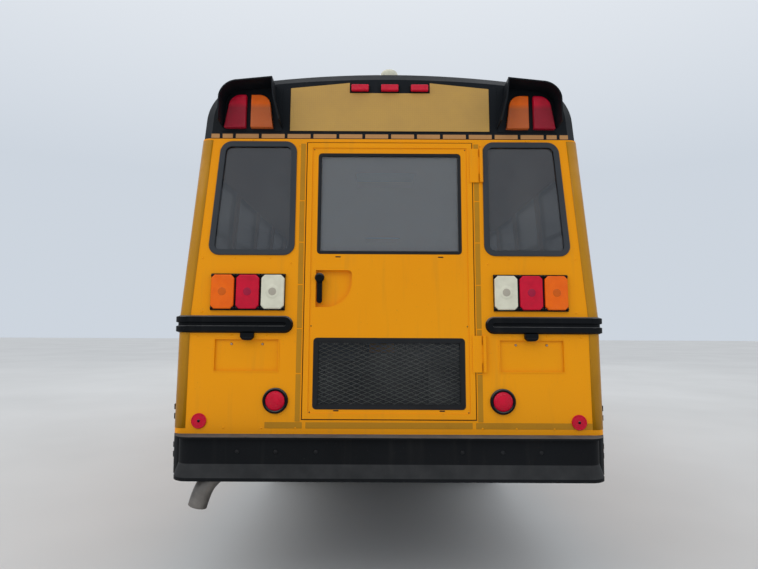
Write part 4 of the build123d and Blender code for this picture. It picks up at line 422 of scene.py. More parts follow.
# %% Helpers for new pieces
def flat_shape(outline, corner=0.0, segments=5):
    """A bmesh with one flat face on its XY plane, its corners rounded by one radius or one each."""
    work = bmesh.new()
    corners = [work.verts.new((x, y, 0)) for x, y in outline]
    work.faces.new(corners)
    radii = corner if isinstance(corner, (list, tuple)) else [corner] * len(corners)
    for radius in sorted(set(radii) - {0}):
        chosen = [vert for vert, own in zip(corners, radii) if own == radius]
        bmesh.ops.bevel(
            work, geom=chosen, offset=radius, affect="VERTICES", segments=segments, profile=0.5, material=-1
        )
    bmesh.ops.recalc_face_normals(work, faces=work.faces)
    return work


def rectangle(centre_x, centre_y, width, tall):
    """Corner points of an upright rectangle."""
    left, right = centre_x - width / 2, centre_x + width / 2
    low, high = centre_y - tall / 2, centre_y + tall / 2
    return [(left, low), (right, low), (right, high), (left, high)]


def circle(radius, count, phase=0.0):
    """Corner points of a regular polygon about the origin."""
    angles = [phase + math.tau * k / count for k in range(count)]
    return [(radius * math.cos(angle), radius * math.sin(angle)) for angle in angles]


def hollow(work, rim):
    """Keeps only a rim of this width round each face."""
    inner = work.faces[:]
    bmesh.ops.inset_region(work, faces=inner, thickness=rim, use_boundary=True, use_even_offset=True)
    bmesh.ops.delete(work, geom=inner, context="FACES")


def thicken(work, depth, edge=0.0, segments=2):
    """Turns flat faces on Z = 0 into a solid from Z = 0 to depth, its upper edges rounded."""
    flat = work.faces[:]
    raised = bmesh.ops.extrude_face_region(work, geom=flat, use_keep_orig=True)["geom"]
    bmesh.ops.translate(work, verts=[v for v in raised if isinstance(v, bmesh.types.BMVert)], vec=(0, 0, depth))
    bmesh.ops.recalc_face_normals(work, faces=work.faces)
    if edge:
        top = [e for e in work.edges if all(abs(v.co.z - depth) < 1e-6 for v in e.verts) and len(e.link_faces) == 2]
        rim = [e for e in top if abs(e.calc_face_angle(0)) > 0.3]
        bmesh.ops.bevel(
            work, geom=rim, offset=edge, affect="EDGES", segments=segments, profile=0.5, material=-1,
            clamp_overlap=True,
        )


def join(target, source, matrix=Matrix()):
    """Adds a bmesh to another at a matrix, and frees it."""
    source.transform(matrix)
    carrier = bpy.data.meshes.new("carrier")
    source.to_mesh(carrier)
    source.free()
    target.from_mesh(carrier)
    bpy.data.meshes.remove(carrier)


def lay(target, outline, matrix, depth, corner=0.0, segments=5, rim=0.0, edge=0.0, edge_segments=2):
    """Lays a plate with this outline on a matrix, or a rim of it, with round corners and upper edges."""
    plate = flat_shape(outline, corner, segments)
    if rim:
        hollow(plate, rim)
    thicken(plate, depth, edge, edge_segments)
    join(target, plate, matrix)


def new_piece(name, work, body, finish, smooth=False, merge=True):
    """Makes a bmesh into an object that rides on a body of the CAD model."""
    if merge:
        bmesh.ops.remove_doubles(work, verts=work.verts, dist=1e-6)
        bmesh.ops.recalc_face_normals(work, faces=work.faces)
    mesh = bpy.data.meshes.new(name)
    work.to_mesh(mesh)
    work.free()
    mesh.materials.append(finish)
    if smooth:
        mesh.shade_smooth()
    piece = bpy.data.objects.new(name, mesh)
    bpy.context.collection.objects.link(piece)
    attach(piece, body)
    print(name, "faces:", len(mesh.polygons))
    return piece


def turned(profile, steps=28):
    """A solid turned about Z from (radius, height) points that start and end on the axis."""
    work = bmesh.new()
    points = [work.verts.new((radius, 0, z)) for radius, z in profile]
    for a, b in zip(points, points[1:]):
        work.edges.new((a, b))
    bmesh.ops.spin(
        work, geom=work.verts[:] + work.edges[:], cent=(0, 0, 0), axis=(0, 0, 1), angle=math.tau, steps=steps,
        use_merge=True,
    )
    bmesh.ops.remove_doubles(work, verts=work.verts, dist=1e-6)
    bmesh.ops.recalc_face_normals(work, faces=work.faces)
    return work


def block(work, matrix, size, edge=0.0, segments=2):
    """Adds a box of this size, centred on a matrix, its edges rounded."""
    box = bmesh.new()
    bmesh.ops.create_cube(box, size=1, matrix=Matrix.Diagonal((*size, 1)))
    if edge:
        bmesh.ops.bevel(
            box, geom=box.edges[:], offset=edge, affect="EDGES", segments=segments, profile=0.5, material=-1
        )
    join(work, box, matrix)


def on_rear(x, z, out=0.0):
    """A place on the rear wall, its Z axis pointing out of the wall."""
    return REAR_FACE @ at(x, up_wall(z), out)


def rivet(work, matrix, radius=0.006, rise=0.003):
    """A low domed rivet head standing on the XY plane of a matrix."""
    bmesh.ops.create_cone(
        work, cap_ends=True, segments=8, radius1=radius, radius2=radius * 0.45, depth=rise,
        matrix=matrix @ at(0, 0, rise / 2),
    )


# %% [markdown]
# Strips of retro-reflective tape outline the back of the bus: a tan band under the cap, cut by black
# dashes, and mustard bands beside the door, round the corners and along the foot of the wall. A tape
# has a fine honeycomb of glass beads, so its sheen breaks up when seen close to.

# %% Reflective tapes
TAPE_BEAD = 0.004


def beaded_tape(name, colour, seam):
    """Reflective tape: cells a few millimetres wide between slightly darker seams."""
    material, tree = start_material(name)
    cells = wire(tree, "ShaderNodeTexVoronoi", {
        "Vector": place(tree), "Scale": 1 / TAPE_BEAD,
    }, "Distance", feature="DISTANCE_TO_EDGE")
    lines = spread(tree, cells, 0.0, 0.12, 0.8, 0.0)
    wear = spread(tree, noise(tree, 0.15, detail=4), 0.5, 0.75, 0, 0.35)
    tone = blend_colours(tree, plus(tree, times(tree, lines, 0.4), wear), colour, seam)
    matt = spread(tree, wear, 0, 0.35, 0.28, 0.5)
    return finish_material(material, tone, matt, bumped(tree, cells, 0.0003), {"Specular IOR Level": 0.2})


MUSTARD_TAPE = beaded_tape("mustard_reflective_tape", (0.50, 0.225, 0.006), (0.36, 0.15, 0.006))
TAN_TAPE = beaded_tape("tan_reflective_tape", (0.5, 0.25, 0.09), (0.36, 0.17, 0.06))

TAPE_THICKNESS = 0.0012
TAPE_CORNER = 0.002


def tape_strip(tapes, x, z, width, tall):
    """One strip of tape on the rear wall, centred at x and height z."""
    lay(tapes, rectangle(x, up_wall(z), width, tall), REAR_FACE, TAPE_THICKNESS, TAPE_CORNER, 2)


EAVE_TAPE_Z = 2.699
EAVE_TAPE_TALL = 0.026
EAVE_DASH_PITCH = 0.1558
EAVE_DASH_WIDTH = 0.018
EAVE_TAPE_END, EAVE_LAST_DASH = 1.073, 1.014

dash_xs = [EAVE_DASH_PITCH * i for i in range(-6, 7)]
cuts = [-EAVE_TAPE_END, -EAVE_LAST_DASH, *dash_xs, EAVE_LAST_DASH, EAVE_TAPE_END]
eave_tape = bmesh.new()
for left, right in zip(cuts, cuts[1:]):
    start = left + (EAVE_DASH_WIDTH / 2 if left > -EAVE_TAPE_END else 0)
    stop = right - (EAVE_DASH_WIDTH / 2 if right < EAVE_TAPE_END else 0)
    tape_strip(eave_tape, (start + stop) / 2, EAVE_TAPE_Z, stop - start, EAVE_TAPE_TALL)
new_piece("eave_tape", eave_tape, "bus_body", TAN_TAPE)

DOOR_TAPE_X = 0.517
DOOR_TAPE_WIDTH = 0.028
DOOR_TAPE_ZS = (1.02, 1.29, 1.545, 1.80, 2.05, 2.30, 2.655)
TAPE_GAP = 0.006
FOOT_TAPE_Z = 1.003
FOOT_TAPE_TALL = 0.034
FOOT_TAPE_RUNS = ((-0.70, -0.49), (-0.47, 0.47), (0.49, 1.15))

wall_tape = bmesh.new()
for side in (-1, 1):
    for low, high in zip(DOOR_TAPE_ZS, DOOR_TAPE_ZS[1:]):
        tape_strip(wall_tape, side * DOOR_TAPE_X, (low + high) / 2, DOOR_TAPE_WIDTH, high - low - TAPE_GAP)
for start, stop in FOOT_TAPE_RUNS:
    tape_strip(wall_tape, (start + stop) / 2, FOOT_TAPE_Z, stop - start, FOOT_TAPE_TALL)
new_piece("wall_tape", wall_tape, "bus_body", MUSTARD_TAPE)

# %% [markdown]
# The corner tape wraps the rounded corner of the body. One arc of edges is made with a spin, then
# extruded up to the belt line and on to the eave, and its rows are moved in as the body narrows.

# %% Corner tape
CORNER_RADIUS = 0.055
CORNER_TAPE_PROUD = 0.0013
CORNER_STEPS = 6
CORNER_TURN = math.radians(62)
CORNER_TAPE_FLAT = 0.019
CORNER_LEVELS = (0.985, BELT_Z, 1.95, 2.30, 2.672)


def corner_centre(side, z):
    """Where the corner's round is centred at height z."""
    x = HALF_WIDTH - max(z - BELT_Z, 0) * math.tan(TUMBLE) - CORNER_RADIUS
    y = WALL_FOOT_Y + z * math.tan(REAR_LEAN) + CORNER_RADIUS
    return Vector((side * x, y, z))


corner_tape = bmesh.new()
for side in (-1, 1):
    work = bmesh.new()
    foot = corner_centre(side, CORNER_LEVELS[0])
    start = work.verts.new(foot + Vector((0, -CORNER_RADIUS - CORNER_TAPE_PROUD, 0)))
    bmesh.ops.spin(
        work, geom=[start], cent=foot, axis=(0, 0, 1), angle=side * CORNER_TURN, steps=CORNER_STEPS, use_merge=False
    )
    inner = work.verts.new(start.co - Vector((side * CORNER_TAPE_FLAT, 0, 0)))
    work.edges.new((inner, start))
    row = work.edges[:]
    for low, high in zip(CORNER_LEVELS, CORNER_LEVELS[1:]):
        grown = bmesh.ops.extrude_edge_only(work, edges=row)["geom"]
        row = [e for e in grown if isinstance(e, bmesh.types.BMEdge)]
        moved = [v for v in grown if isinstance(v, bmesh.types.BMVert)]
        bmesh.ops.translate(work, verts=moved, vec=corner_centre(side, high) - corner_centre(side, low))
    join(corner_tape, work)
corner_piece = new_piece("corner_tape", corner_tape, "bus_body", MUSTARD_TAPE, smooth=True)
tape_wall = corner_piece.modifiers.new("tape thickness", "SOLIDIFY")
tape_wall.thickness = TAPE_THICKNESS
tape_wall.offset = 0

# %% [markdown]
# Each fixed rear window sits in a black rubber gasket that overlaps the sheet metal, and the door's
# panes have a flatter seal inside their pressed recess. A gasket is a rounded outline, hollowed to a
# rim and thickened, with its upper edges rolled over.

# %% Window gaskets
GASKET_RIM = 0.034
GASKET_PROUD = 0.007
SEAL_EDGE = 0.003
REAR_PANE_LOW_Z, REAR_PANE_HIGH_Z = 1.972, 2.665
REAR_PANE_INNER_X, REAR_PANE_LOW_X, REAR_PANE_HIGH_X = 0.555, 1.063, 1.010
REAR_PANE_CORNER = 0.066

gaskets = bmesh.new()
for side in (-1, 1):
    outline = [
        (side * REAR_PANE_INNER_X, up_wall(REAR_PANE_LOW_Z)),
        (side * REAR_PANE_LOW_X, up_wall(REAR_PANE_LOW_Z)),
        (side * REAR_PANE_HIGH_X, up_wall(REAR_PANE_HIGH_Z)),
        (side * REAR_PANE_INNER_X, up_wall(REAR_PANE_HIGH_Z)),
    ]
    lay(gaskets, outline, REAR_FACE, GASKET_PROUD, REAR_PANE_CORNER, 8, rim=GASKET_RIM, edge=SEAL_EDGE)
new_piece("rear_window_gaskets", gaskets, "bus_body", GASKET)

DOOR_PANES = ((1.980, 2.593), (1.100, 1.484))
DOOR_PANE_HALF_WIDTH = 0.425
DOOR_SEAL_FITS = ((0.0, 0.019), (0.010, 0.030))
DOOR_SEAL_DEPTH, DOOR_SEAL_THICK = 0.0075, 0.0095
SEAL_SLACK = 0.001

door_seals = bmesh.new()
for (low, high), (lap, rim) in zip(DOOR_PANES, DOOR_SEAL_FITS):
    wide, tall = 2 * (DOOR_PANE_HALF_WIDTH + lap) - SEAL_SLACK, up_wall(high - low) + 2 * lap - SEAL_SLACK
    outline = rectangle(0, up_wall((low + high) / 2), wide, tall)
    spot = REAR_FACE @ at(0, 0, -DOOR_SEAL_DEPTH)
    lay(door_seals, outline, spot, DOOR_SEAL_THICK, 0.022, rim=rim, edge=SEAL_EDGE)
new_piece("door_window_seals", door_seals, "emergency_door", RUBBER)

# %% [markdown]
# Behind the low door window the real bus has a guard of expanded metal: thin strands in a flat
# diamond pattern, about 60 by 24 mm. Each strand is a thin bar laid on a slant and cut to the pane.

# %% Expanded-metal guard
MESH_WIDE, MESH_TALL = 0.062, 0.025
STRAND = 0.0025
GUARD_CLEARANCE, GUARD_DEPTH = 0.004, 0.024

guard_low, guard_high = DOOR_PANES[1]
guard_rise = up_wall(guard_high - guard_low) - 2 * GUARD_CLEARANCE
slant = math.atan2(MESH_TALL, MESH_WIDE)
guard = bmesh.new()
run = 2 * (DOOR_PANE_HALF_WIDTH - GUARD_CLEARANCE)
strand_count = int((guard_rise + run * math.tan(slant)) / MESH_TALL) + 1
for lean in (-1, 1):
    for i in range(strand_count):
        rise = -guard_rise / 2 - run / 2 * math.tan(slant) + i * MESH_TALL
        spot = at(0, rise, lean * STRAND / 2) @ rotated(lean * slant, "Z")
        block(guard, spot, (run / math.cos(slant), STRAND, STRAND))
for direction in ((0, 1, 0), (0, -1, 0)):
    cut = bmesh.ops.bisect_plane(
        guard, geom=guard.verts[:] + guard.edges[:] + guard.faces[:], dist=1e-6,
        plane_co=Vector(direction) * guard_rise / 2, plane_no=direction, clear_outer=True,
    )
    open_edges = [e for e in cut["geom_cut"] if isinstance(e, bmesh.types.BMEdge)]
    bmesh.ops.holes_fill(guard, edges=open_edges, sides=8)
guard.transform(REAR_FACE @ at(0, up_wall((guard_low + guard_high) / 2), -GUARD_DEPTH))
new_piece("door_window_guard", guard, "emergency_door", GUARD_STEEL)

# %% [markdown]
# The sign panel between the warning lamps is a plain reflective sheet with a fine grid of cells. Its
# top edge follows the roof's crown and is notched for three small red lamps.

# %% Sign panel
def gridded_sheet(name, colour, line, cell):
    """A reflective sheet with a fine square grid printed in it."""
    material, tree = start_material(name)
    across, upward = (spread(tree, waves(tree, cell, axis), 0.93, 1.0) for axis in "XZ")
    grid = wire(tree, "ShaderNodeMath", {0: across, 1: upward}, operation="MAXIMUM")
    fading = spread(tree, noise(tree, 0.2, detail=4), 0.4, 0.75, 0, 0.35)
    tone = blend_colours(tree, plus(tree, times(tree, grid, 0.35), fading), colour, line)
    return finish_material(material, tone, spread(tree, fading, 0, 0.35, 0.3, 0.5), bumped(tree, grid, 0.0002))


SIGN_SHEET = gridded_sheet("sign_reflective_sheet", (0.53, 0.30, 0.056), (0.37, 0.21, 0.052), cell=0.012)
SIGN_HALF, SIGN_LOW_Z, SIGN_HIGH_Z, SIGN_END_Z = 0.600, 2.731, 3.037, 3.001
NOTCH_HALF, NOTCH_Z = 0.243, 2.972
SIGN_PROUD = 0.004
sign_outline = [
    (-SIGN_HALF, SIGN_LOW_Z), (SIGN_HALF, SIGN_LOW_Z), (SIGN_HALF, SIGN_END_Z), (NOTCH_HALF, SIGN_HIGH_Z),
    (NOTCH_HALF, NOTCH_Z), (-NOTCH_HALF, NOTCH_Z), (-NOTCH_HALF, SIGN_HIGH_Z), (-SIGN_HALF, SIGN_END_Z),
]
sign = bmesh.new()
lay(sign, [(x, up_wall(z)) for x, z in sign_outline], REAR_FACE @ at(0, 0, SIGN_PROUD), 0.001)
new_piece("sign_sheet", sign, "bus_body", SIGN_SHEET)

# %% [markdown]
# The tail lamps are square moulded lenses with their corners cut away for a screw, and a domed edge.
# Below them sit two round stop lamps with stepped rings, and small reflectors with a bolt through
# the middle. Each colour becomes one piece that takes the place of the plain CAD lenses.

# %% Shapes of the lenses
TAIL_Z, TAIL_TALL, TAIL_WIDE = 1.7545, 0.198, 0.132
TAIL_XS = {"clear": 0.673, "red": 0.818, "amber": 0.963}
TAIL_BASE = 0.010
TAIL_CUT = 0.019
LENS_RISE = 0.019
WARNING_LOW_Z, WARNING_HIGH_Z = 2.742, 2.948
WARNING_ARCH = 0.06
WARNING_RISE = 0.027
RED_WARNING_XS, AMBER_WARNING_XS = (0.863, 0.994, 0.035), (0.835, 0.699, -0.025)
ROUND_LAMP = (0.643, 1.138)
REFLECTOR = (1.070, 1.025)
ID_LAMP_Z, ID_LAMP_PITCH = 2.999, 0.18


def tail_lens(lamp_set, x):
    """One square lens with cut corners and a domed edge."""
    lay(
        lamp_set, rectangle(0, 0, TAIL_WIDE, TAIL_TALL), on_rear(x, TAIL_Z, TAIL_BASE), LENS_RISE, TAIL_CUT, 1,
        edge=0.007, edge_segments=3,
    )


def warning_lens(lamp_set, side, xs):
    """One tall warning lens: a straight edge inside the pair, and an arched outer corner that leans in."""
    straight_x, arched_x, lean = xs
    outline = [
        (side * straight_x, up_wall(WARNING_LOW_Z)), (side * arched_x, up_wall(WARNING_LOW_Z)),
        (side * (arched_x - lean), up_wall(WARNING_HIGH_Z)), (side * straight_x, up_wall(WARNING_HIGH_Z)),
    ]
    corners = [0.006, 0.008, WARNING_ARCH, 0.006]
    lay(lamp_set, outline, on_rear(0, 0, SIGN_PROUD), WARNING_RISE, corners, 6, edge=0.008, edge_segments=3)


# %% Red lenses
red_set = bmesh.new()
round_profile = [
    (0, 0.032), (0.012, 0.0315), (0.024, 0.030), (0.025, 0.0285), (0.036, 0.0265), (0.037, 0.025),
    (0.046, 0.022), (0.047, 0.0205), (0.053, 0.016), (0.055, 0.011), (0.055, 0.008), (0, 0.008),
]
reflector_profile = [
    (0, 0.007), (0.036, 0.007), (0.0375, 0.0082), (0.041, 0.0082), (0.0428, 0.006), (0.0428, 0), (0, 0),
]
for side in (-1, 1):
    tail_lens(red_set, side * TAIL_XS["red"])
    join(red_set, turned(round_profile, 36), on_rear(side * ROUND_LAMP[0], ROUND_LAMP[1]))
    join(red_set, turned(reflector_profile, 28), on_rear(side * REFLECTOR[0], REFLECTOR[1]))
    warning_lens(red_set, side, RED_WARNING_XS)
for i in (-1, 0, 1):
    block(red_set, on_rear(i * ID_LAMP_PITCH, ID_LAMP_Z, 0.0185), (0.105, 0.040, 0.023), 0.006, 3)
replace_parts(new_piece("red_lamp_lenses", red_set, "bus_body", RED_LENS), "red_lenses")

# %% Amber lenses
amber_set = bmesh.new()
for side in (-1, 1):
    tail_lens(amber_set, side * TAIL_XS["amber"])
    warning_lens(amber_set, side, AMBER_WARNING_XS)
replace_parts(new_piece("amber_lamp_lenses", amber_set, "bus_body", AMBER_LENS), "amber_lenses")

# %% [markdown]
# Behind the clear reversing lens there is a round bulb bowl, which shows as a raised ring in the
# lens. The beacon on the roof is a short clear dome on a base, screwed down behind the cap.

# %% Clear lenses
CLEAR_RING = [(0, 0.0245), (0.030, 0.0235), (0.041, 0.020), (0.043, 0.0165), (0.043, 0.012), (0, 0.012)]
STROBE_Y = -5.15
STROBE_DOME = [
    (0, 0.098), (0.020, 0.0965), (0.036, 0.092), (0.048, 0.084), (0.055, 0.072), (0.0575, 0.058), (0.0585, 0.024),
    (0.0585, 0.020), (0, 0.020),
]
clear_set = bmesh.new()
for side in (-1, 1):
    tail_lens(clear_set, side * TAIL_XS["clear"])
    join(clear_set, turned(CLEAR_RING, 32), on_rear(side * TAIL_XS["clear"], TAIL_Z, TAIL_BASE - 0.001))
join(clear_set, turned(STROBE_DOME, 32), at(0, STROBE_Y, ROOF_TOP_Z))
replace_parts(new_piece("clear_lamp_lenses", clear_set, "bus_body", CLEAR_LENS), "clear_lenses")

# %% [markdown]
# Each lamp is held by dark parts: screws in the cut corners, a rolled ring round the stop lamps, a
# shallow tray under each small roof lamp and a foot under the beacon. They are one piece, because
# they share one satin black finish.

# %% Lamp screws, rings and trays
lamp_trim = bmesh.new()
SCREW_INSET = 0.004
screw_profile = [(0, 0.013), (0.0055, 0.0125), (0.0075, 0.010), (0.0075, 0), (0, 0)]
reflector_bolt = [(0, 0.011), (0.006, 0.010), (0.0085, 0.007), (0, 0.007)]
ring_profile = [
    (0, 0.0105), (0.056, 0.0105), (0.0575, 0.0150), (0.061, 0.0175), (0.066, 0.0170), (0.0705, 0.013),
    (0.0715, 0.001), (0, 0.001),
]
for side in (-1, 1):
    for x in TAIL_XS.values():
        for corner_x, corner_y in rectangle(0, 0, TAIL_WIDE - 2 * SCREW_INSET, TAIL_TALL - 2 * SCREW_INSET):
            spot = on_rear(side * x, TAIL_Z, TAIL_BASE) @ at(corner_x, corner_y, 0)
            join(lamp_trim, turned(screw_profile, 10), spot)
    join(lamp_trim, turned(ring_profile, 36), on_rear(side * ROUND_LAMP[0], ROUND_LAMP[1]))
    join(lamp_trim, turned(reflector_bolt, 10), on_rear(side * REFLECTOR[0], REFLECTOR[1]))
for i in (-1, 0, 1):
    block(lamp_trim, on_rear(i * ID_LAMP_PITCH, ID_LAMP_Z, 0.0045), (0.119, 0.049, 0.009), 0.003)
strobe_foot = [(0, 0.022), (0.0598, 0.022), (0.0598, 0.004), (0.0598, -0.002), (0, -0.002)]
join(lamp_trim, turned(strobe_foot, 32), at(0, STROBE_Y, ROOF_TOP_Z))
new_piece("lamp_screws_and_rings", lamp_trim, "bus_body", BLACK)

# %% [markdown]
# Rows of rivets hold the outer sheet to the posts inside, and bolts close the plate recesses. A rivet
# is only a few millimetres across, so eight sides are enough for each head.

# %% Rivets and bolts of the rear wall
RIVETS = (
    (1.090, 1.955), (0.905, 1.955), (0.697, 1.955), (0.905, 1.505), (0.700, 1.505), (0.930, 0.988), (0.718, 0.988),
    (0.527, 0.988), (0.540, 2.640), (0.820, 2.673), (1.080, 1.640), (0.575, 1.925), (1.100, 1.500),
)
PLATE_X, PLATE_HOLE_STEP, PLATE_HOLE_Z = 0.816, 0.089, 1.455
rear_rivets = bmesh.new()
for x, z in RIVETS:
    for side in (-1, 1):
        rivet(rear_rivets, on_rear(side * x, z), 0.0065, 0.0032)
for x in (-PLATE_X, PLATE_X):
    for step in (-PLATE_HOLE_STEP, PLATE_HOLE_STEP):
        rivet(rear_rivets, on_rear(x + step, PLATE_HOLE_Z, -0.010), 0.008, 0.005)
new_piece("rear_wall_rivets", rear_rivets, "bus_body", YELLOW)

# %% [markdown]
# The recess for the plate has a folded lip all round, which catches a thin line of light. The lip is
# a rim, hollowed and thickened in the same way as a gasket.

# %% Lips of the plate recesses
RECESS_Z, RECESS_WIDE, RECESS_TALL = 1.393, 0.376, 0.190
plate_lips = bmesh.new()
for side in (-1, 1):
    outline = rectangle(0, 0, RECESS_WIDE, up_wall(RECESS_TALL))
    lay(plate_lips, outline, on_rear(side * PLATE_X, RECESS_Z), 0.0025, 0.006, 3, rim=0.006, edge=0.0012)
new_piece("plate_recess_lips", plate_lips, "bus_body", YELLOW)

# %% [markdown]
# ## The emergency door and the bumper
#
# The door closes on a rubber seal that fills the gap in the wall. The seal belongs to the wall, so it
# stays when the door swings. Two drain slots sit below each of the door's windows, and the hinges
# show a row of fine knuckles, each with its bolts.

# %% Door seal, drain slots and hinge knuckles
DOOR_HALF, DOOR_LOW_Z, DOOR_HIGH_Z = 0.490, 1.038, 2.656
SEAL_SPREAD, SEAL_DEPTH = 0.0115, 0.033
seal = bmesh.new()
seal_wide, seal_tall = 2 * DOOR_HALF + SEAL_SPREAD, up_wall(DOOR_HIGH_Z - DOOR_LOW_Z) + SEAL_SPREAD
seal_outline = rectangle(0, up_wall((DOOR_LOW_Z + DOOR_HIGH_Z) / 2), seal_wide, seal_tall)
lay(seal, seal_outline, REAR_FACE @ at(0, 0, -SEAL_DEPTH), 0.030, 0.004, 2, rim=0.0048, edge=0.002)
new_piece("door_opening_seal", seal, "bus_body", RUBBER)

SLOT_X, SLOT_DROP, SLOT_SIZE = 0.30, 0.016, (0.030, 0.007, 0.003)
DOOR_SCREW_X, DOOR_SCREW_ZS = 0.450, (2.615, 1.075, 1.56)
door_trim = bmesh.new()
for side in (-1, 1):
    for low, _ in DOOR_PANES:
        block(door_trim, on_rear(side * SLOT_X, low - SLOT_DROP, -0.0005), SLOT_SIZE, 0.001)
    for z in DOOR_SCREW_ZS:
        rivet(door_trim, on_rear(side * DOOR_SCREW_X, z), 0.004, 0.002)
new_piece("door_drain_slots", door_trim, "emergency_door", BLACK)

HINGE_PIN_X, HINGE_OUT, HINGE_ZS = 0.545, 0.014, (1.404, 2.518)
LEAF_BOLT_X, LEAF_BOLT_RISES = 0.500, (-0.085, -0.03, 0.03, 0.085)
HINGE_TALL, HINGE_BARRELS = 0.208, 14
FIXED_BARRELS, MOVING_BARRELS = (0, 1, 2, 11, 12, 13), range(4, 10)
barrel_profile = [(0, -0.0028), (0.0108, -0.0028), (0.0113, 0), (0.0108, 0.0028), (0, 0.0028)]


def hinge_barrels(work, z, numbers):
    """Some of the short barrels about the pin of the hinge at height z."""
    for i in numbers:
        rise = (i - (HINGE_BARRELS - 1) / 2) * HINGE_TALL / HINGE_BARRELS
        spot = on_rear(HINGE_PIN_X, z, HINGE_OUT) @ at(0, rise, 0) @ FACING_BACK
        join(work, turned(barrel_profile, 12), spot)


knuckles = bmesh.new()
for z in HINGE_ZS:
    hinge_barrels(knuckles, z, FIXED_BARRELS)
new_piece("door_hinge_knuckles", knuckles, "bus_body", YELLOW)

moving_knuckles = bmesh.new()
for z in HINGE_ZS:
    hinge_barrels(moving_knuckles, z, MOVING_BARRELS)
    for rise in LEAF_BOLT_RISES:
        rivet(moving_knuckles, on_rear(LEAF_BOLT_X, z) @ at(0, rise, 0), 0.0055, 0.004)
new_piece("door_hinge_leaves", moving_knuckles, "emergency_door", YELLOW)

# %% [markdown]
# The bumper's carriage bolts are dull and half rusty, and the lamp under each rub rail is a tiny
# black housing with a clear slot that faces down onto the plate.

# %% Bumper bolts and plate lamps
BUMPER_WEB_Y, BUMPER_MIDDLE_Z = -5.576, 0.875
bumper_bolts = bmesh.new()
bolt_profile = [(0, 0.006), (0.006, 0.0055), (0.010, 0.003), (0.012, 0), (0, 0)]
for x in (-0.83, -0.62, -0.40, 0.40, 0.62, 0.83):
    join(bumper_bolts, turned(bolt_profile, 12), at(x, BUMPER_WEB_Y, BUMPER_MIDDLE_Z) @ FACING_BACK)
new_piece("bumper_bolts", bumper_bolts, "bus_body", RUBBER)

PLATE_LAMP_X, PLATE_LAMP_Z, PLATE_LAMP_DEPTH = 0.812, 1.4925, 0.036
PLATE_LAMP_OUTLINE = [(-0.034, 0.0), (-0.026, -0.016), (0.026, -0.016), (0.034, 0.0)]
PLATE_LAMP_CORNERS = [0.001, 0.012, 0.012, 0.001]
plate_lamps = bmesh.new()
for side in (-1, 1):
    spot = on_rear(side * PLATE_LAMP_X, PLATE_LAMP_Z)
    lay(plate_lamps, PLATE_LAMP_OUTLINE, spot, PLATE_LAMP_DEPTH, PLATE_LAMP_CORNERS, 4, edge=0.003)
new_piece("plate_lamp_hoods", plate_lamps, "bus_body", BLACK)

# %% [markdown]
# ## Wheels and tyres
#
# A bus tyre has a few broad ribs cut by grooves, and lugs at its shoulders. The tread is made once as
# a turned ring of ribs; the shoulder lugs are a small wedge repeated round the rim by a loop. The
# sidewalls bulge a little between bead and shoulder. Each tyre set replaces its plain CAD ring and
# stays inside it.

# %% A tyre with ribs, lugs and a rounded sidewall
TYRE_R, RIM_R, TYRE_HALF = 0.520, 0.286, 0.135
GROOVE_DEPTH, GROOVE_XS = 0.011, (-0.085, -0.042, 0.0, 0.042, 0.085)
TYRE_STEPS, LUG_COUNT = 96, 48
SIDEWALL = (
    (RIM_R + 0.001, -0.098), (RIM_R + 0.012, -0.112), (RIM_R + 0.035, -0.122), (RIM_R + 0.075, -0.1325),
    (RIM_R + 0.115, -TYRE_HALF), (RIM_R + 0.155, -0.1335), (RIM_R + 0.195, -0.1285), (TYRE_R - 0.018, -0.124),
    (TYRE_R - 0.005, -0.116),
)


def tyre_mesh():
    """One tyre about the X axis, centred on the origin."""
    across = list(SIDEWALL)
    for middle in GROOVE_XS:
        across += [
            (TYRE_R - 0.0005, middle - 0.0065), (TYRE_R - GROOVE_DEPTH, middle - 0.0035),
            (TYRE_R - GROOVE_DEPTH, middle + 0.0035), (TYRE_R - 0.0005, middle + 0.0065),
        ]
    across += [(radius, -x) for radius, x in reversed(SIDEWALL)]
    work = bmesh.new()
    ring = [work.verts.new((x, 0, radius)) for radius, x in across]
    for a, b in zip(ring, ring[1:] + ring[:1]):
        work.edges.new((a, b))
    bmesh.ops.spin(
        work, geom=work.verts[:] + work.edges[:], cent=(0, 0, 0), axis=(1, 0, 0), angle=math.tau, steps=TYRE_STEPS,
        use_merge=True,
    )
    bmesh.ops.remove_doubles(work, verts=work.verts, dist=1e-6)
    for i in range(LUG_COUNT):
        for side in (-1, 1):
            turn = rotated(math.tau * (i + 0.25 * side) / LUG_COUNT, "X")
            spot = turn @ at(side * 0.1215, 0, TYRE_R - 0.0155) @ rotated(side * 0.55, "Y")
            bmesh.ops.create_cube(work, size=1, matrix=spot @ Matrix.Diagonal((0.013, 0.019, 0.022, 1)))
    bmesh.ops.recalc_face_normals(work, faces=work.faces)
    return work


def tyre_set(name, body, node, centres, y):
    """One or two tyres on a wheel body."""
    work = bmesh.new()
    for x in centres:
        join(work, tyre_mesh(), at(x, y, TYRE_R))
    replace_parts(new_piece(name, work, body, TYRE), node)


FRONT_AXLE_Y, REAR_AXLE_Y = 4.6, -2.46
tyre_set("front_left_tyre_treaded", "front_left_wheel", "front_left_tyre", (-1.01,), FRONT_AXLE_Y)
tyre_set("front_right_tyre_treaded", "front_right_wheel", "front_right_tyre", (1.01,), FRONT_AXLE_Y)
tyre_set("rear_left_tyres_treaded", "rear_left_wheels", "rear_left_tyres", (-1.052, -0.727), REAR_AXLE_Y)
tyre_set("rear_right_tyres_treaded", "rear_right_wheels", "rear_right_tyres", (1.052, 0.727), REAR_AXLE_Y)

# %% [markdown]
# Ten nuts on studs hold each wheel. A nut is a six-sided prism with a domed stud end, and a loop
# turns ten of them round the axle.

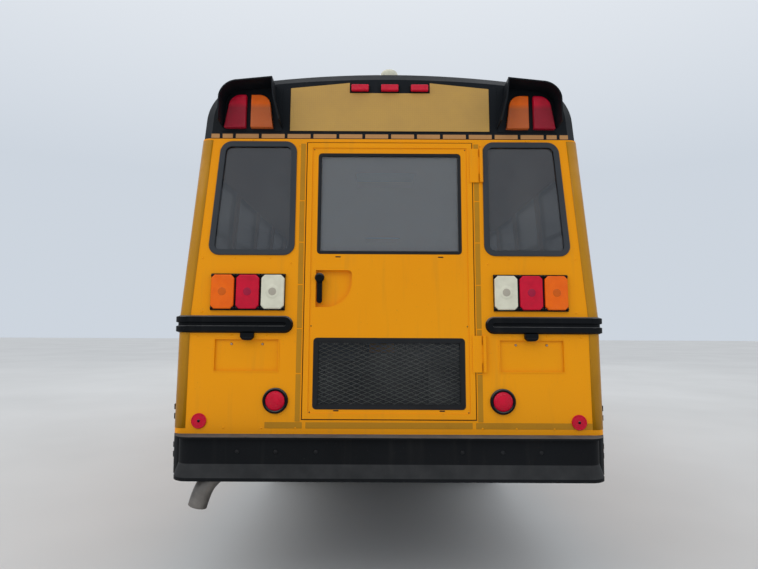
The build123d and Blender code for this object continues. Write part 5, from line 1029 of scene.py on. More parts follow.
# %% Wheel nuts
NUT_COUNT = 10
NUT_PARTS = ((6, 0.0165, 0.0155, 0.022, 0.011), (8, 0.009, 0.006, 0.014, 0.029))


def wheel_nuts(name, body, face_x, y, radius):
    """Nuts with their stud ends in a ring on the outer face of one wheel."""
    work = bmesh.new()
    facing = rotated(math.copysign(math.pi / 2, face_x), "Y")
    for i in range(NUT_COUNT):
        spot = at(face_x, y, TYRE_R) @ rotated(math.tau * i / NUT_COUNT, "X") @ at(0, 0, radius) @ facing
        for sides, foot, top, tall, middle in NUT_PARTS:
            bmesh.ops.create_cone(
                work, cap_ends=True, segments=sides, radius1=foot, radius2=top, depth=tall,
                matrix=spot @ at(0, 0, middle),
            )
    new_piece(name, work, body, BRIGHT)


wheel_nuts("front_left_wheel_nuts", "front_left_wheel", -1.072, FRONT_AXLE_Y, 0.1175)
wheel_nuts("front_right_wheel_nuts", "front_right_wheel", 1.072, FRONT_AXLE_Y, 0.1175)
wheel_nuts("rear_left_wheel_nuts", "rear_left_wheels", -1.007, REAR_AXLE_Y, 0.1425)
wheel_nuts("rear_right_wheel_nuts", "rear_right_wheels", 1.007, REAR_AXLE_Y, 0.1425)

# %% [markdown]
# ## Seats
#
# A bench cushion is foam under a tight cover, so its faces crown and its edges turn over softly. One
# cushion and one back are blown up by a short cloth simulation with a little pressure, each from a
# form slightly smaller than its CAD solid, and the results are copied to all the rows.

# %% Inflate a pad with cloth
PUFF_FRAMES = 20


def pad_form(outline, width, voxel):
    """A closed form from a side outline (y, z), spread along X and remeshed into even cells."""
    work = flat_shape(outline, 0.022, 3)
    thicken(work, width)
    work.transform(Matrix(((0, 0, 1, -width / 2), (1, 0, 0, 0), (0, 1, 0, 0), (0, 0, 0, 1))))
    bmesh.ops.recalc_face_normals(work, faces=work.faces)
    mesh = bpy.data.meshes.new("pad_form")
    work.to_mesh(mesh)
    work.free()
    form = bpy.data.objects.new("pad_form", mesh)
    bpy.context.collection.objects.link(form)
    cells = form.modifiers.new("cells", "REMESH")
    cells.mode = "VOXEL"
    cells.voxel_size = voxel
    return form


def evaluated(form):
    """The mesh that a form's modifiers make at this frame."""
    graph = bpy.context.evaluated_depsgraph_get()
    return bpy.data.meshes.new_from_object(form.evaluated_get(graph))


def inflate(form, reach):
    """Blows a form up as pressed cloth, no point moving further than reach; returns the mesh."""
    rest = evaluated(form)
    form.modifiers.clear()
    form.data = rest
    start = [vert.co.copy() for vert in rest.vertices]
    cloth = form.modifiers.new("cloth", "CLOTH")
    cloth.settings.use_pressure = True
    cloth.settings.uniform_pressure_force = 4
    cloth.settings.quality = 5
    cloth.settings.effector_weights.gravity = 0
    cloth.point_cache.frame_start = 1
    cloth.point_cache.frame_end = PUFF_FRAMES
    for step in range(1, PUFF_FRAMES + 1):
        bpy.context.scene.frame_set(step)
    blown = evaluated(form)
    for vert, origin in zip(blown.vertices, start):
        shift = vert.co - origin
        if shift.length > reach:
            vert.co = origin + shift.normalized() * reach
    bpy.context.scene.frame_set(1)
    bpy.data.objects.remove(form)
    blown.shade_smooth()
    return blown


CUSHION_OUTLINE = [(0.100, 1.336), (0.392, 1.336), (0.392, 1.438), (0.100, 1.438)]
BACK_OUTLINE = [(0.010, 1.345), (0.080, 1.345), (0.079, 1.450), (0.022, 1.878), (-0.048, 1.878), (0.006, 1.450)]
PAD_LENGTH = 0.954
cushion_mesh = inflate(pad_form(CUSHION_OUTLINE, PAD_LENGTH, 0.019), 0.011)
back_mesh = inflate(pad_form(BACK_OUTLINE, PAD_LENGTH, 0.021), 0.010)
print("pad cells:", len(cushion_mesh.polygons), len(back_mesh.polygons))

# %% Copy the pads to every row
BENCH_ROWS = [-5.04 + BAY_PITCH * i for i in range(11)]
BENCH_MIDDLE_X = (0.190 + 1.160) / 2


def pads(name, meshes, spots, finish, node):
    """These pad meshes at each of these places, as one padded piece."""
    work = bmesh.new()
    for spot in spots:
        for mesh in meshes:
            pad = bmesh.new()
            pad.from_mesh(mesh)
            join(work, pad, spot)
    piece = new_piece(name, work, "bus_body", finish, smooth=True, merge=False)
    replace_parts(piece, node)


bench_spots = [at(side * BENCH_MIDDLE_X, y, 0) for y in BENCH_ROWS for side in (-1, 1)]
pads("bench_seat_pads", [cushion_mesh], bench_spots, VINYL, "bench_cushions")
pads("bench_back_pads", [back_mesh], bench_spots, VINYL, "bench_backs")

# %% [markdown]
# The driver's seat has a deeper cushion and a tall back, under woven cloth, on a square pedestal with
# a folded foot. The pads are blown up in the same way.

# %% Driver's seat
DRIVER_SPOT = at(-0.6, 2.72, 0)
SEAT_OUTLINE = [(0.105, 1.428), (0.472, 1.428), (0.472, 1.520), (0.100, 1.520)]
SEAT_BACK_OUTLINE = [(0.006, 1.430), (0.100, 1.430), (0.100, 1.530), (0.000, 2.100), (-0.098, 2.106)]
SEAT_WIDE, SEAT_CELL, SEAT_REACH = 0.478, 0.012, 0.012
seat_meshes = [
    inflate(pad_form(outline, SEAT_WIDE, SEAT_CELL), SEAT_REACH) for outline in (SEAT_OUTLINE, SEAT_BACK_OUTLINE)
]
pads("driver_seat_pads", seat_meshes, [DRIVER_SPOT], SEAT_CLOTH, "driver_seat")

PEDESTAL_PARTS = ((1.008, 0.300, 0.016, 0.004), (1.210, 0.236, 0.400, 0.012), (1.414, 0.292, 0.014, 0.004))
pedestal = bmesh.new()
for z, wide, tall, edge in PEDESTAL_PARTS:
    block(pedestal, at(-0.6, 2.96, z), (wide, wide, tall), edge)
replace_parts(new_piece("driver_seat_pedestal", pedestal, "bus_body", CHASSIS), "driver_seat")

# %% [markdown]
# ## Running gear under the tail
#
# The exhaust pipe runs from the muffler over the rear axle and out under the left end of the bumper,
# where its tip turns down. A pipe is a round section along a smooth line, so a curve with a bevel
# makes it. The muffler is a drum turned from its profile, with rolled seams at both ends.

# %% Exhaust
def tube_along(points, radius, sides=24, samples=10):
    """A closed round tube that follows a smooth line through these points."""
    line = bpy.data.curves.new("route", "CURVE")
    line.dimensions = "3D"
    run = line.splines.new("NURBS")
    run.points.add(len(points) - 1)
    for held, spot in zip(run.points, points):
        held.co = (*spot, 1)
    run.order_u = 3
    run.use_endpoint_u = True
    run.resolution_u = samples
    line.bevel_depth = radius
    line.bevel_resolution = (sides - 4) // 4
    carrier = bpy.data.objects.new("route", line)
    bpy.context.collection.objects.link(carrier)
    work = bmesh.new()
    mesh = evaluated(carrier)
    work.from_mesh(mesh)
    bpy.data.objects.remove(carrier)
    bpy.data.meshes.remove(mesh)
    bmesh.ops.remove_doubles(work, verts=work.verts, dist=1e-6)
    bmesh.ops.holes_fill(work, edges=[edge for edge in work.edges if edge.is_boundary], sides=0)
    bmesh.ops.recalc_face_normals(work, faces=work.faces)
    return work


PIPE_RADIUS = 0.052
TIP_BORE = 0.04
pipe_route = [
    (-0.60, -1.08, 0.755), (-0.60, -1.34, 0.755), (-0.515, -1.62, 0.80), (-0.515, -2.20, 0.80),
    (-0.515, -3.32, 0.80), (-0.66, -3.84, 0.772), (-0.80, -4.3775, 0.745), (-0.90, -4.98, 0.742),
    (-0.945, -5.38, 0.742), (-0.968, -5.46, 0.735), (-1.034, -5.500, 0.668), (-1.061, -5.503, 0.562),
]
exhaust = tube_along(pipe_route, PIPE_RADIUS)
tip = min((face for face in exhaust.faces if len(face.verts) > 8), key=lambda face: face.calc_center_median().z)
tip_centre = tip.calc_center_median()
bmesh.ops.inset_region(exhaust, faces=[tip], thickness=0.003, use_even_offset=True)
bore = bmesh.ops.extrude_face_region(exhaust, geom=[tip])["geom"]
bore_floor = [part for part in bore if isinstance(part, bmesh.types.BMFace)]
bore_verts = [part for part in bore if isinstance(part, bmesh.types.BMVert)]
bmesh.ops.delete(exhaust, geom=[tip], context="FACES_ONLY")
bmesh.ops.scale(exhaust, verts=bore_verts, vec=(0.86, 0.86, 1), space=at(*-tip_centre))
bmesh.ops.translate(exhaust, verts=bore_verts, vec=(0.25 * TIP_BORE, 0.02 * TIP_BORE, TIP_BORE))
sooty = set(bore_floor)
for face in bore_floor:
    for edge in face.edges:
        sooty.update(edge.link_faces)
for face in sooty:
    face.material_index = 1

muffler_profile = [
    (0, 0), (0.058, 0), (0.060, 0.006), (0.112, 0.022), (0.124, 0.018), (0.1305, 0.012), (0.1325, 0.004),
    (0.1325, 0.034), (0.1295, 0.038), (0.1295, 0.32), (0.1325, 0.324), (0.1325, 0.352), (0.1295, 0.356),
    (0.1295, 0.66), (0.1325, 0.664), (0.1325, 0.692), (0.1295, 0.696), (0.1295, 0.962), (0.1325, 0.966),
    (0.1325, 0.996), (0.1305, 0.988), (0.124, 0.982), (0.112, 0.978), (0.060, 0.994), (0.058, 1.0), (0, 1.0),
]
join(exhaust, turned(muffler_profile, 40), at(-0.60, -0.10, 0.755) @ FACING_BACK)
HANGER_TOP_Z = 0.955
HANGERS = (
    (-0.60, -0.30, 0.755, 0.885, 0.134), (-0.60, -0.80, 0.755, 0.885, 0.134), (-0.893, -4.8913, 0.742, 0.792, 0.055),
)
for x, y, z, foot_z, strap_radius in HANGERS:
    block(exhaust, at(x, y, (foot_z + HANGER_TOP_Z) / 2), (0.024, 0.024, HANGER_TOP_Z - foot_z + 0.02), 0.004)
    lay(exhaust, circle(strap_radius, 36), at(x, y + 0.017, z) @ FACING_BACK, 0.034, rim=0.006)
exhaust_piece = new_piece("exhaust_run", exhaust, "bus_body", STEEL, smooth=True)
exhaust_piece.data.materials.append(EXHAUST_BORE)
exhaust_piece.data.set_sharp_from_angle(angle=math.radians(35))
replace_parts(exhaust_piece, "exhaust")

# %% [markdown]
# The two frame rails end behind the bumper. On the real bus their ends are cut up at an angle, so
# that nothing shows below the bumper. The CAD rails are copied, their doubles are merged, and a plane
# cuts the slant.

# %% Frame rails with slanted ends
rails = bmesh.new()
rails.from_mesh(nodes["frame_rails"].data)
bmesh.ops.remove_doubles(rails, verts=rails.verts, dist=1e-5)
rail_cut = bmesh.ops.bisect_plane(
    rails, geom=rails.verts[:] + rails.edges[:] + rails.faces[:], dist=1e-6, plane_co=(0, -5.15, 0.64),
    plane_no=Vector((0, -0.115, -0.414)).normalized(), clear_outer=True,
)
cut_edges = [part for part in rail_cut["geom_cut"] if isinstance(part, bmesh.types.BMEdge)]
bmesh.ops.holes_fill(rails, edges=cut_edges, sides=0)
RAIL_FACE_X, RAIL_BOLT_ZS = 0.4305, (0.70, 0.834)
for y in [2.9 - 0.38 * i for i in range(21)]:
    for side in (-1, 1):
        for z in RAIL_BOLT_ZS:
            rivet(rails, at(side * RAIL_FACE_X, y, z) @ rotated(side * math.pi / 2, "Y"), 0.011, 0.007)
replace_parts(new_piece("frame_rails_cut", rails, "bus_body", CHASSIS), "frame_rails")

# %% [markdown]
# The bumper's ends are folded forward round the corners of the body. Each end is a small plan shape
# with two soft corners, raised to the bumper's height.

# %% Bumper end returns
BUMPER_LOW_Z, BUMPER_TALL = 0.735, 0.214
RETURN_PLAN = ((1.150, -5.515), (1.172, -5.520), (1.2195, -5.470), (1.2205, -5.385), (1.150, -5.385))
RETURN_CORNERS = [0.004, 0.02, 0.03, 0.004, 0.004]
returns = bmesh.new()
for side in (-1, 1):
    plan = [(side * x, y) for x, y in RETURN_PLAN]
    lay(returns, plan, at(0, 0, BUMPER_LOW_Z), BUMPER_TALL, RETURN_CORNERS, 4, edge=0.004)
new_piece("bumper_end_returns", returns, "bus_body", BLACK)

# %% [markdown]
# ## Flanks and roof
#
# Details on the curved or leaning skin have to sit on it exactly. A ray from outside finds the skin,
# and its hit point and normal give a matrix to build on. A flat grid can be draped in the same way,
# vertex by vertex, which makes the roof's seam bands; they leave room for the two hatches.

# %% Seating on the skin
def seat(node, origin, direction, out=0.0):
    """A matrix where a ray meets a CAD node, its Z axis along the surface normal and Y as upright as can be."""
    hit, spot, normal, _ = nodes[node].ray_cast(Vector(origin), Vector(direction))
    if not hit:
        raise RuntimeError(f"the ray at {origin} misses {node}")
    across = Vector((0, 0, 1)).cross(normal)
    across = across.normalized() if across.length > 0.05 else Vector((1, 0, 0))
    up = normal.cross(across)
    base = Matrix((
        (across.x, up.x, normal.x, spot.x), (across.y, up.y, normal.y, spot.y),
        (across.z, up.z, normal.z, spot.z), (0, 0, 0, 1),
    ))
    return base @ at(0, 0, out)


def from_ahead(node, x, z, out=0.0):
    """A seat on the front of a CAD node."""
    return seat(node, (x, 7, z), (0, -1, 0), out)


def from_above(node, x, y, out=0.0):
    """A seat on the top of a CAD node."""
    return seat(node, (x, y, 5), (0, 0, -1), out)


# %% Roof seam bands
BAND_PROUD = 0.0015
HATCH_YS = {"front_hatch": 1.2, "rear_hatch": -2.9}
HATCH_CLEARANCE = 0.36
roof_bands = bmesh.new()
for y in [2.85 - BAY_PITCH * i for i in range(12)]:
    if min(abs(y - hatch_y) for hatch_y in HATCH_YS.values()) < HATCH_CLEARANCE:
        continue
    band = bmesh.new()
    bmesh.ops.create_grid(band, x_segments=48, y_segments=1, size=0.5, matrix=Matrix.Diagonal((2.18, 0.05, 1, 1)))
    for vert in band.verts:
        spot = Vector((vert.co.x, vert.co.y + y, 4))
        hit, landed, _, _ = nodes["roof_panel"].ray_cast(spot, Vector((0, 0, -1)))
        vert.co = landed + Vector((0, 0, BAND_PROUD)) if hit else Vector((spot.x, spot.y, EAVE_Z))
    join(roof_bands, band)
    for x in [-1.0 + 0.125 * k for k in range(17)]:
        for step in (-0.017, 0.017):
            rivet(roof_bands, from_above("roof_panel", x, y + step, BAND_PROUD), 0.005, 0.0025)
new_piece("roof_seam_bands", roof_bands, "bus_body", YELLOW)

# %% Flank rivets, drip rails and window latches
SIDE_WALLS = {-1: "left_side_wall", 1: "right_side_wall"}
RIVET_PITCH, RIVET_END_Y, SKIN_X = 0.10, -5.30, 1.19
flank_rivets = bmesh.new()
for side, front_end in ((-1, 3.50), (1, 2.38)):
    for z in (1.688, 1.47, 0.975, 0.772):
        for i in range(int((front_end - RIVET_END_Y) / RIVET_PITCH)):
            start = Vector((side * 2, front_end - RIVET_PITCH * i, z))
            hit, spot, _, _ = nodes[SIDE_WALLS[side]].ray_cast(start, Vector((-side, 0, 0)))
            if hit and abs(spot.x) > SKIN_X:
                rivet(flank_rivets, at(*spot) @ rotated(side * math.pi / 2, "Y"), 0.005, 0.0025)
new_piece("flank_rivets", flank_rivets, "bus_body", YELLOW)

DRIP_Z, DRIP_MIDDLE_Y, DRIP_LENGTH = 2.612, -0.95, 8.30
drips = bmesh.new()
for side in (-1, 1):
    face = flank_face(side, DRIP_Z) @ at(side * DRIP_MIDDLE_Y, 0, 0)
    block(drips, face @ at(0, 0, 0.007), (DRIP_LENGTH, 0.005, 0.018), 0.0015)
    block(drips, face @ at(0, 0.009, 0.014), (DRIP_LENGTH, 0.018, 0.004), 0.0015)
new_piece("drip_rails", drips, "bus_body", YELLOW)

WINDOW_COUNT, FIRST_POST_Y, LATCH_Z = 11, 2.45, 2.155
latches = bmesh.new()
for side in (-1, 1):
    for i in range(WINDOW_COUNT):
        y = FIRST_POST_Y - BAY_PITCH * (i + 0.5)
        for step in (-0.19, 0.19):
            spot = flank_face(side, LATCH_Z) @ at(side * (y + step), 0, -0.010)
            block(latches, spot, (0.052, 0.020, 0.012), 0.004)
            block(latches, spot @ at(0, 0.012, 0.004), (0.016, 0.016, 0.010), 0.003)
new_piece("window_latches", latches, "bus_body", BLACK)

# %% [markdown]
# ## Front and small fittings
#
# The front cap carries the same warning lamps as the back, and small marker lamps stand on the
# flanks and the nose. Each is a rounded base with a domed lens, laid where a ray meets the skin.

# %% Lamps on the front and flanks
MARKER_SUNK, MARKER_RIM = 0.006, 0.018


def marker(bases, lenses, spot, width, tall, corner, base_rise, lens_rise):
    """A rounded black base with a smaller domed lens on it."""
    lay(
        bases, rectangle(0, 0, width, tall), spot @ at(0, 0, -MARKER_SUNK), base_rise + MARKER_SUNK, corner, 4,
        edge=0.004,
    )
    lay(
        lenses, rectangle(0, 0, width - MARKER_RIM, tall - MARKER_RIM), spot @ at(0, 0, base_rise - 0.001), lens_rise,
        max(corner - 0.006, 0.003), 4, edge=min(lens_rise, 0.02) * 0.4, edge_segments=3,
    )


FRONT_LAMP_Z, FRONT_ID_LAMP_Z, FLANK_LAMP_Z = 2.845, 2.985, 1.42
front_red, front_amber, front_bases = bmesh.new(), bmesh.new(), bmesh.new()
for side in (-1, 1):
    for lenses, x in ((front_red, 0.905), (front_amber, 0.725)):
        spot = from_ahead("front_cap", side * x, FRONT_LAMP_Z)
        marker(front_bases, lenses, spot, 0.165, 0.190, 0.034, 0.012, 0.024)
    for lenses, y in ((front_amber, 1.9), (front_red, -4.75)):
        spot = seat(SIDE_WALLS[side], (side * 2, y, FLANK_LAMP_Z), (-side, 0, 0))
        marker(front_bases, lenses, spot, 0.110, 0.052, 0.012, 0.008, 0.014)
for i in (-1, 0, 1):
    spot = from_ahead("front_cap", i * ID_LAMP_PITCH, FRONT_ID_LAMP_Z)
    marker(front_bases, front_amber, spot, 0.116, 0.052, 0.012, 0.008, 0.018)
new_piece("front_red_lamps", front_red, "bus_body", RED_LENS)
new_piece("front_amber_lamps", front_amber, "bus_body", AMBER_LENS)
new_piece("front_lamp_bases", front_bases, "bus_body", BLACK)

HEADLAMP_X, HEADLAMP_Z, TURN_LAMP_Z = 0.89, 0.930, 1.075
nose_bases, nose_lenses = bmesh.new(), bmesh.new()
for side in (-1, 1):
    x = side * HEADLAMP_X
    marker(nose_bases, nose_lenses, from_ahead("hood", x, TURN_LAMP_Z), 0.170, 0.058, 0.014, 0.006, 0.012)
    bezel_spot = from_ahead("headlamps", x, HEADLAMP_Z, -0.006)
    lay(nose_bases, rectangle(0, 0, 0.300, 0.190), bezel_spot, 0.014, 0.03, rim=0.024, edge=0.005, edge_segments=3)
    for step in (-0.062, 0.062):
        ring_spot = from_ahead("headlamps", x + step, HEADLAMP_Z)
        lay(nose_bases, circle(0.053, 32), ring_spot, 0.004, rim=0.005, edge=0.0015)
new_piece("nose_lamp_bases", nose_bases, "hood", BLACK)
new_piece("nose_turn_lenses", nose_lenses, "hood", AMBER_LENS)

# %% Grille bars
grille_bars = bmesh.new()
for z in [0.885 + 0.0335 * i for i in range(11)]:
    block(grille_bars, at(0, 5.4425, z), (0.840, 0.010, 0.012), 0.004)
for x in [-0.40 + 0.20 * i for i in range(5)]:
    block(grille_bars, at(x, 5.4400, 1.05), (0.012, 0.008, 0.370), 0.003)
new_piece("grille_bars", grille_bars, "hood", BRIGHT)

# %% [markdown]
# The mirrors need a face that mirrors, and the stop arm its white border. Both are thin plates on
# their carriers.

# %% Mirror faces
MIRROR_FACE = grained("mirror_face", (0.72, 0.74, 0.76), (0.78, 0.8, 0.82), 0.05, 0.0001, 0.08, metallic=1.0)
MIRROR_X, MIRROR_Y, MIRROR_Z = 1.37, 3.6262, 2.05
mirror_faces = bmesh.new()
for side in (-1, 1):
    outline = rectangle(side * MIRROR_X, MIRROR_Z, 0.166, 0.376)
    lay(mirror_faces, outline, at(0, MIRROR_Y, 0) @ FACING_BACK, 0.003, 0.022, edge=0.001)
new_piece("mirror_faces", mirror_faces, "bus_body", MIRROR_FACE)

# %% Stop arm border and lamps
ARM_Y, ARM_Z = 2.385, 1.30
ARM_OUTER_X, ARM_INNER_X = -1.2682, -1.2598
OCTAGON_RADIUS = 0.219 / math.cos(math.pi / 8)
border, arm_lamps = bmesh.new(), bmesh.new()
for x, outward in ((ARM_OUTER_X, -1), (ARM_INNER_X, 1)):
    spot = at(x, ARM_Y, ARM_Z) @ rotated(outward * math.pi / 2, "Y")
    lay(border, circle(OCTAGON_RADIUS, 8, math.pi / 8), spot, 0.0012, rim=0.013)
arm_lens_profile = [(0, 0.015), (0.018, 0.0145), (0.032, 0.011), (0.040, 0.005), (0.042, 0.0), (0, 0)]
for step in (-0.145, 0.145):
    spot = at(ARM_OUTER_X + 0.0005, ARM_Y, ARM_Z + step) @ rotated(-math.pi / 2, "Y")
    join(arm_lamps, turned(arm_lens_profile, 32), spot)
new_piece("stop_arm_border", border, "stop_arm", HATCH_WHITE)
new_piece("stop_arm_lamps", arm_lamps, "stop_arm", RED_LENS)

# %% [markdown]
# The two wipers are thin tubes: an arm from a round knob below the glass, and a blade that follows
# the glass across the arm's tip. The roof hatches get shallow moulded ribs and a pull handle each.

# %% Wipers
WIPER_FOOT_Z, WIPER_TIP_Z, WIPER_RADIUS = 1.745, 2.16, 0.006
wipers = bmesh.new()
for foot_x, tip_x in ((-0.18, -0.86), (0.86, 0.20)):
    foot = from_ahead("windshield", foot_x, WIPER_FOOT_Z, 0.020).translation
    tip = from_ahead("windshield", tip_x, WIPER_TIP_Z, 0.020).translation
    knob = foot + Vector((0, 0.03, -0.03))
    join(wipers, tube_along([knob, foot, tip], WIPER_RADIUS, 8, 4))
    along = (tip - foot).normalized()
    low, high = (
        from_ahead("windshield", tip.x + along.x * reach, tip.z + along.z * reach, 0.008).translation
        for reach in (-0.24, 0.16)
    )
    join(wipers, tube_along([low, (low + high) / 2, high], WIPER_RADIUS, 8, 4))
    bmesh.ops.create_uvsphere(wipers, u_segments=12, v_segments=8, radius=0.018, matrix=at(*knob))
new_piece("wipers", wipers, "bus_body", BLACK, smooth=True)

# %% Roof hatch ribs and handles
HATCH_PLATES = [(step, 0.001, (0.50, 0.030, 0.008), 0.003) for step in (-0.20, -0.10, 0.0, 0.10, 0.20)]
HATCH_PLATES.append((-0.262, 0.004, (0.12, 0.036, 0.010), 0.004))
for body, hatch_y in HATCH_YS.items():
    ribs = bmesh.new()
    for step, lift, size, edge in HATCH_PLATES:
        landed = from_above(body, 0, hatch_y + step).translation
        block(ribs, at(0, hatch_y + step, landed.z + lift), size, edge)
    new_piece(body + "_ribs", ribs, body, HATCH_WHITE)

# %% [markdown]
# Inside, the driver has a row of round gauges under a hood, and the aisle has a ribbed rubber cover.
# Under the floor, two steel straps hold the fuel tank.

# %% Gauges
GAUGES = (
    (-0.70, 1.545, 0.052), (-0.50, 1.545, 0.052), (-0.83, 1.56, 0.027), (-0.60, 1.575, 0.027), (-0.37, 1.56, 0.027),
)
gauges, needles = bmesh.new(), bmesh.new()
bezel_profile = [(0, 0.003), (0.88, 0.003), (0.90, 0.012), (1.0, 0.012), (1.04, 0.0), (0, 0.0)]
for x, z, radius in GAUGES:
    spot = seat("dashboard", (x, 2.0, z), (0, 1, 0))
    join(gauges, turned([(r * radius, h) for r, h in bezel_profile], 28), spot)
    for k in range(11):
        tick = spot @ rotated(math.radians(-130 + 26 * k), "Z") @ at(0, radius * 0.76, 0.0036)
        block(needles, tick, (radius * 0.035, radius * 0.14, 0.0008))
    needle = spot @ rotated(math.radians(95), "Z") @ at(0, radius * 0.3, 0.005)
    block(needles, needle, (radius * 0.05, radius * 0.72, 0.0012))
new_piece("gauge_bezels", gauges, "bus_body", CAB_PLASTIC)
new_piece("gauge_marks", needles, "bus_body", HATCH_WHITE)

# %% Aisle ribs and tank straps
aisle = bmesh.new()
for i in range(9):
    block(aisle, at(-0.128 + 0.032 * i, -1.30, 1.001), (0.014, 7.20, 0.005), 0.0015)
new_piece("aisle_ribs", aisle, "bus_body", FLOOR_COVER)

straps = bmesh.new()
tank_low, tank_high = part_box("fuel_tank")
STRAP_THICK, STRAP_WIDE, STRAP_INSET = 0.006, 0.06, 0.28
tank_outline = rectangle(
    (tank_low[0] + tank_high[0]) / 2, (tank_low[2] + tank_high[2]) / 2, tank_high[0] - tank_low[0] + STRAP_THICK,
    tank_high[2] - tank_low[2] + STRAP_THICK,
)
for y in (tank_low[1] + STRAP_INSET, tank_high[1] - STRAP_INSET):
    spot = at(0, y + STRAP_WIDE / 2, 0) @ FACING_BACK
    lay(straps, tank_outline, spot, STRAP_WIDE, 0.06, 6, rim=STRAP_THICK)
new_piece("tank_straps", straps, "bus_body", STEEL)

# %% [markdown]
# Last come small things that the eye still finds from behind: the darker core in each tail lamp where
# the bulb sits, the bright bolts in the plate recesses, and the round boss of the door handle.

# %% Lamp cores, plate bolts and handle boss
core_profile = [(0, 0.0022), (0.018, 0.0020), (0.0225, 0.0012), (0.0235, 0.0), (0, 0.0)]
for colour, finish, rise in (("red", RED_CORE, 0.0), ("amber", AMBER_CORE, 0.0), ("clear", CLEAR_CORE, 0.003)):
    cores = bmesh.new()
    for side in (-1, 1):
        spot = on_rear(side * TAIL_XS[colour], TAIL_Z, TAIL_BASE + LENS_RISE + rise - 0.0004)
        join(cores, turned(core_profile, 28), spot)
    new_piece(colour + "_lamp_cores", cores, "bus_body", finish)

plate_bolts = bmesh.new()
for side in (-1, 1):
    for step in (-PLATE_HOLE_STEP, PLATE_HOLE_STEP):
        spot = seat("rear_wall", (side * PLATE_X + step, -7, PLATE_HOLE_Z), (0, 1, 0))
        rivet(plate_bolts, spot, 0.0085, 0.006)
new_piece("plate_bolts", plate_bolts, "bus_body", BRIGHT)

boss = bmesh.new()
boss_profile = [(0, 0.014), (0.018, 0.014), (0.026, 0.010), (0.028, 0.0), (0, 0.0)]
handle_low, handle_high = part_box("door_handle")
boss_spot = at((handle_low[0] + handle_high[0]) / 2, handle_low[1] + 0.010, handle_high[2] - 0.022)
join(boss, turned(boss_profile, 28), boss_spot @ FACING_BACK)
new_piece("door_handle_boss", boss, "emergency_door", BLACK)

# %% [markdown]
# ## Under the hood
#
# With the hood tilted forward the engine shows. Its block gets a ribbed valve cover with a filler cap,
# a drum-shaped air cleaner, a fan in a ring, and a finned radiator with two hoses. All of it stands
# clear of the hood's shell, so the hood closes over it.

# %% Valve cover, air cleaner and fan
_, ENGINE_NOSE, ENGINE_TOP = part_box("engine")[1]
covers = bmesh.new()
block(covers, at(0.04, ENGINE_NOSE - 0.56, ENGINE_TOP + 0.028), (0.30, 0.98, 0.064), 0.018, 3)
for step in range(7):
    block(covers, at(0.04, ENGINE_NOSE - 0.95 + 0.13 * step, ENGINE_TOP + 0.062), (0.24, 0.018, 0.012), 0.004)
filler_cap = [(0, 0.034), (0.024, 0.034), (0.030, 0.026), (0.030, 0.0), (0, 0.0)]
join(covers, turned(filler_cap, 20), at(0.11, ENGINE_NOSE - 0.105, ENGINE_TOP + 0.056))
manifold = [(0.33, ENGINE_NOSE - 1.0, 1.10), (0.345, ENGINE_NOSE - 0.56, 1.12), (0.33, ENGINE_NOSE - 0.16, 1.10)]
join(covers, tube_along(manifold, 0.045, 16, 6))
for step in range(6):
    block(covers, at(0.31, ENGINE_NOSE - 0.96 + 0.155 * step, 1.14), (0.07, 0.055, 0.055), 0.012)
new_piece("engine_covers", covers, "bus_body", CAST)

cleaner = bmesh.new()
drum = [
    (0, 0.50), (0.095, 0.50), (0.118, 0.485), (0.118, 0.365), (0.122, 0.36), (0.122, 0.345), (0.118, 0.34),
    (0.118, 0.015), (0.10, 0.0), (0, 0.0),
]
duct = [
    (-0.415, ENGINE_NOSE - 0.32, 1.17), (-0.415, ENGINE_NOSE - 0.20, 1.19), (-0.30, ENGINE_NOSE - 0.12, 1.28),
    (-0.20, ENGINE_NOSE - 0.16, 1.31),
]
join(cleaner, turned(drum, 32), at(-0.415, ENGINE_NOSE - 0.30, 1.17) @ FACING_BACK)
join(cleaner, tube_along(duct, 0.042, 16, 8))

FAN_Z, FAN_BLADES = 1.03, 7
FAN_FACE = at(0, ENGINE_NOSE + 0.018, FAN_Z) @ FACING_AHEAD
hub_profile = [(0, 0.052), (0.05, 0.052), (0.06, 0.04), (0.06, -0.02), (0, -0.02)]
lay(cleaner, circle(0.30, 30), FAN_FACE, 0.060, rim=0.012)
join(cleaner, turned(hub_profile, 24), FAN_FACE)
for k in range(FAN_BLADES):
    spot = FAN_FACE @ rotated(math.tau * k / FAN_BLADES, "Z") @ at(0.155, 0, 0.028) @ rotated(0.5, "X")
    block(cleaner, spot, (0.25, 0.085, 0.006), 0.002)
new_piece("air_cleaner_and_fan", cleaner, "bus_body", CHASSIS)

# %% Radiator and hoses
RADIATOR_Y = ENGINE_NOSE + 0.105
radiator = bmesh.new()
block(radiator, at(0, RADIATOR_Y, FAN_Z), (0.66, 0.052, 0.56), 0.004)
for tank_z in (0.73, 1.33):
    block(radiator, at(0, RADIATOR_Y, tank_z), (0.70, 0.075, 0.07), 0.014, 3)
for side in (-1, 1):
    block(radiator, at(side * 0.345, RADIATOR_Y, FAN_Z), (0.03, 0.075, 0.60), 0.005)
for step in range(27):
    block(radiator, at(0, RADIATOR_Y, 0.77 + 0.02 * step), (0.65, 0.060, 0.004))
new_piece("radiator", radiator, "bus_body", CHASSIS)

upper_hose = [
    (0.22, ENGINE_NOSE - 0.16, 1.36), (0.22, ENGINE_NOSE - 0.02, 1.385), (0.22, RADIATOR_Y - 0.03, 1.385),
    (0.22, RADIATOR_Y, 1.35),
]
lower_hose = [(-0.25, ENGINE_NOSE - 0.02, 0.80), (-0.25, ENGINE_NOSE + 0.03, 0.80), (-0.25, RADIATOR_Y - 0.02, 0.735)]
hoses = bmesh.new()
for route in (upper_hose, lower_hose):
    join(hoses, tube_along(route, 0.028, 16, 8))
new_piece("radiator_hoses", hoses, "bus_body", RUBBER)

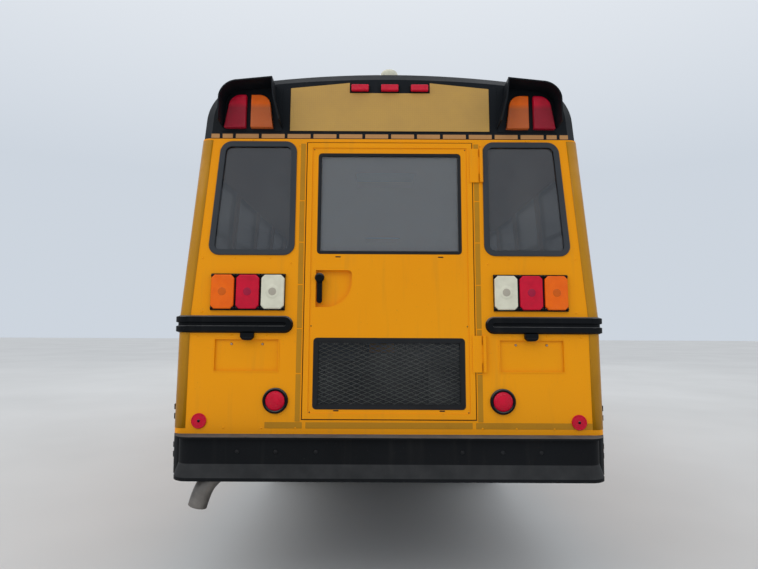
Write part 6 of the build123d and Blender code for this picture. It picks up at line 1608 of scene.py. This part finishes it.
# %% [markdown]
# ## Studio
#
# The camera stands where the photographer stood: straight behind the bus, a little left of its middle
# and at eye height, tipped up by four degrees. A pale floor and broad soft lights give an even
# daylight, and one brighter lamp stands high on the left, where the sun would be.

# %% Camera
CAMERA_SPOT = (-0.060, -8.739, 1.56)
CAMERA_PITCH = math.radians(4.2)
CAMERA_ROLL = math.radians(0.27)
SENSOR_WIDTH_MM, FOCAL_LENGTH_MM = 36.0, 27.02
lens = bpy.data.cameras.new("photo_camera")
lens.sensor_width = SENSOR_WIDTH_MM
lens.lens = FOCAL_LENGTH_MM
lens.clip_end = 200
camera = bpy.data.objects.new("photo_camera", lens)
bpy.context.collection.objects.link(camera)
camera.matrix_world = (
    at(*CAMERA_SPOT) @ rotated(math.pi / 2 + CAMERA_PITCH, "X")
    @ rotated(CAMERA_ROLL, "Z")
)
bpy.context.scene.camera = camera

# %% Floor and lights
def floor_material():
    """Pale, matt studio floor."""
    material, tree = start_material("studio_floor")
    patches = spread(tree, noise(tree, 3.0), 0.3, 0.7)
    tone = blend_colours(tree, patches, (0.6, 0.6, 0.59), (0.66, 0.66, 0.65))
    shader = tree.nodes["Principled BSDF"]
    tree.links.new(tone, shader.inputs["Base Color"])
    shader.inputs["Roughness"].default_value = 0.85
    return material


floor_work = bmesh.new()
bmesh.ops.create_grid(floor_work, x_segments=2, y_segments=2, size=60)
floor_mesh = bpy.data.meshes.new("studio_floor")
floor_work.to_mesh(floor_mesh)
floor_work.free()
floor_mesh.materials.append(floor_material())
studio_floor = bpy.data.objects.new("studio_floor", floor_mesh)
bpy.context.collection.objects.link(studio_floor)


def soft_light(name, spot, aim, size, watts, colour=(1, 1, 1)):
    """A square area lamp that points at a place."""
    lamp = bpy.data.lights.new(name, "AREA")
    lamp.shape = "RECTANGLE"
    lamp.size, lamp.size_y = size
    lamp.energy = watts
    lamp.color = colour
    made = bpy.data.objects.new(name, lamp)
    made.location = spot
    made.rotation_euler = (Vector(aim) - Vector(spot)).to_track_quat("-Z", "Y").to_euler()
    bpy.context.collection.objects.link(made)


soft_light("sky_left", (-9, -12, 9), (0, -4, 1.4), (9, 7), 320, (1.0, 0.98, 0.95))
soft_light("sky_right", (10, -10, 8), (0, -4, 1.4), (9, 7), 120, (0.95, 0.98, 1.0))
soft_light("sky_ahead", (0, 14, 10), (0, 0, 1.5), (12, 6), 350)

world = bpy.data.worlds.new("soft_sky")
world.use_nodes = True
sky = world.node_tree
backdrop = sky.nodes["Background"]
looking = wire(sky, "ShaderNodeTexCoord", {}, "Generated")
overhead = spread(sky, wire(sky, "ShaderNodeSeparateXYZ", {"Vector": looking}, "Z"), 0.25, 0.9)
sky_tone = blend_colours(sky, overhead, (0.61, 0.665, 0.735), (0.98, 1.0, 1.03))
sky.links.new(sky_tone, backdrop.inputs["Color"])
backdrop.inputs["Strength"].default_value = 1.0
bpy.context.scene.world = world
bpy.context.scene.view_settings.view_transform = "Standard"
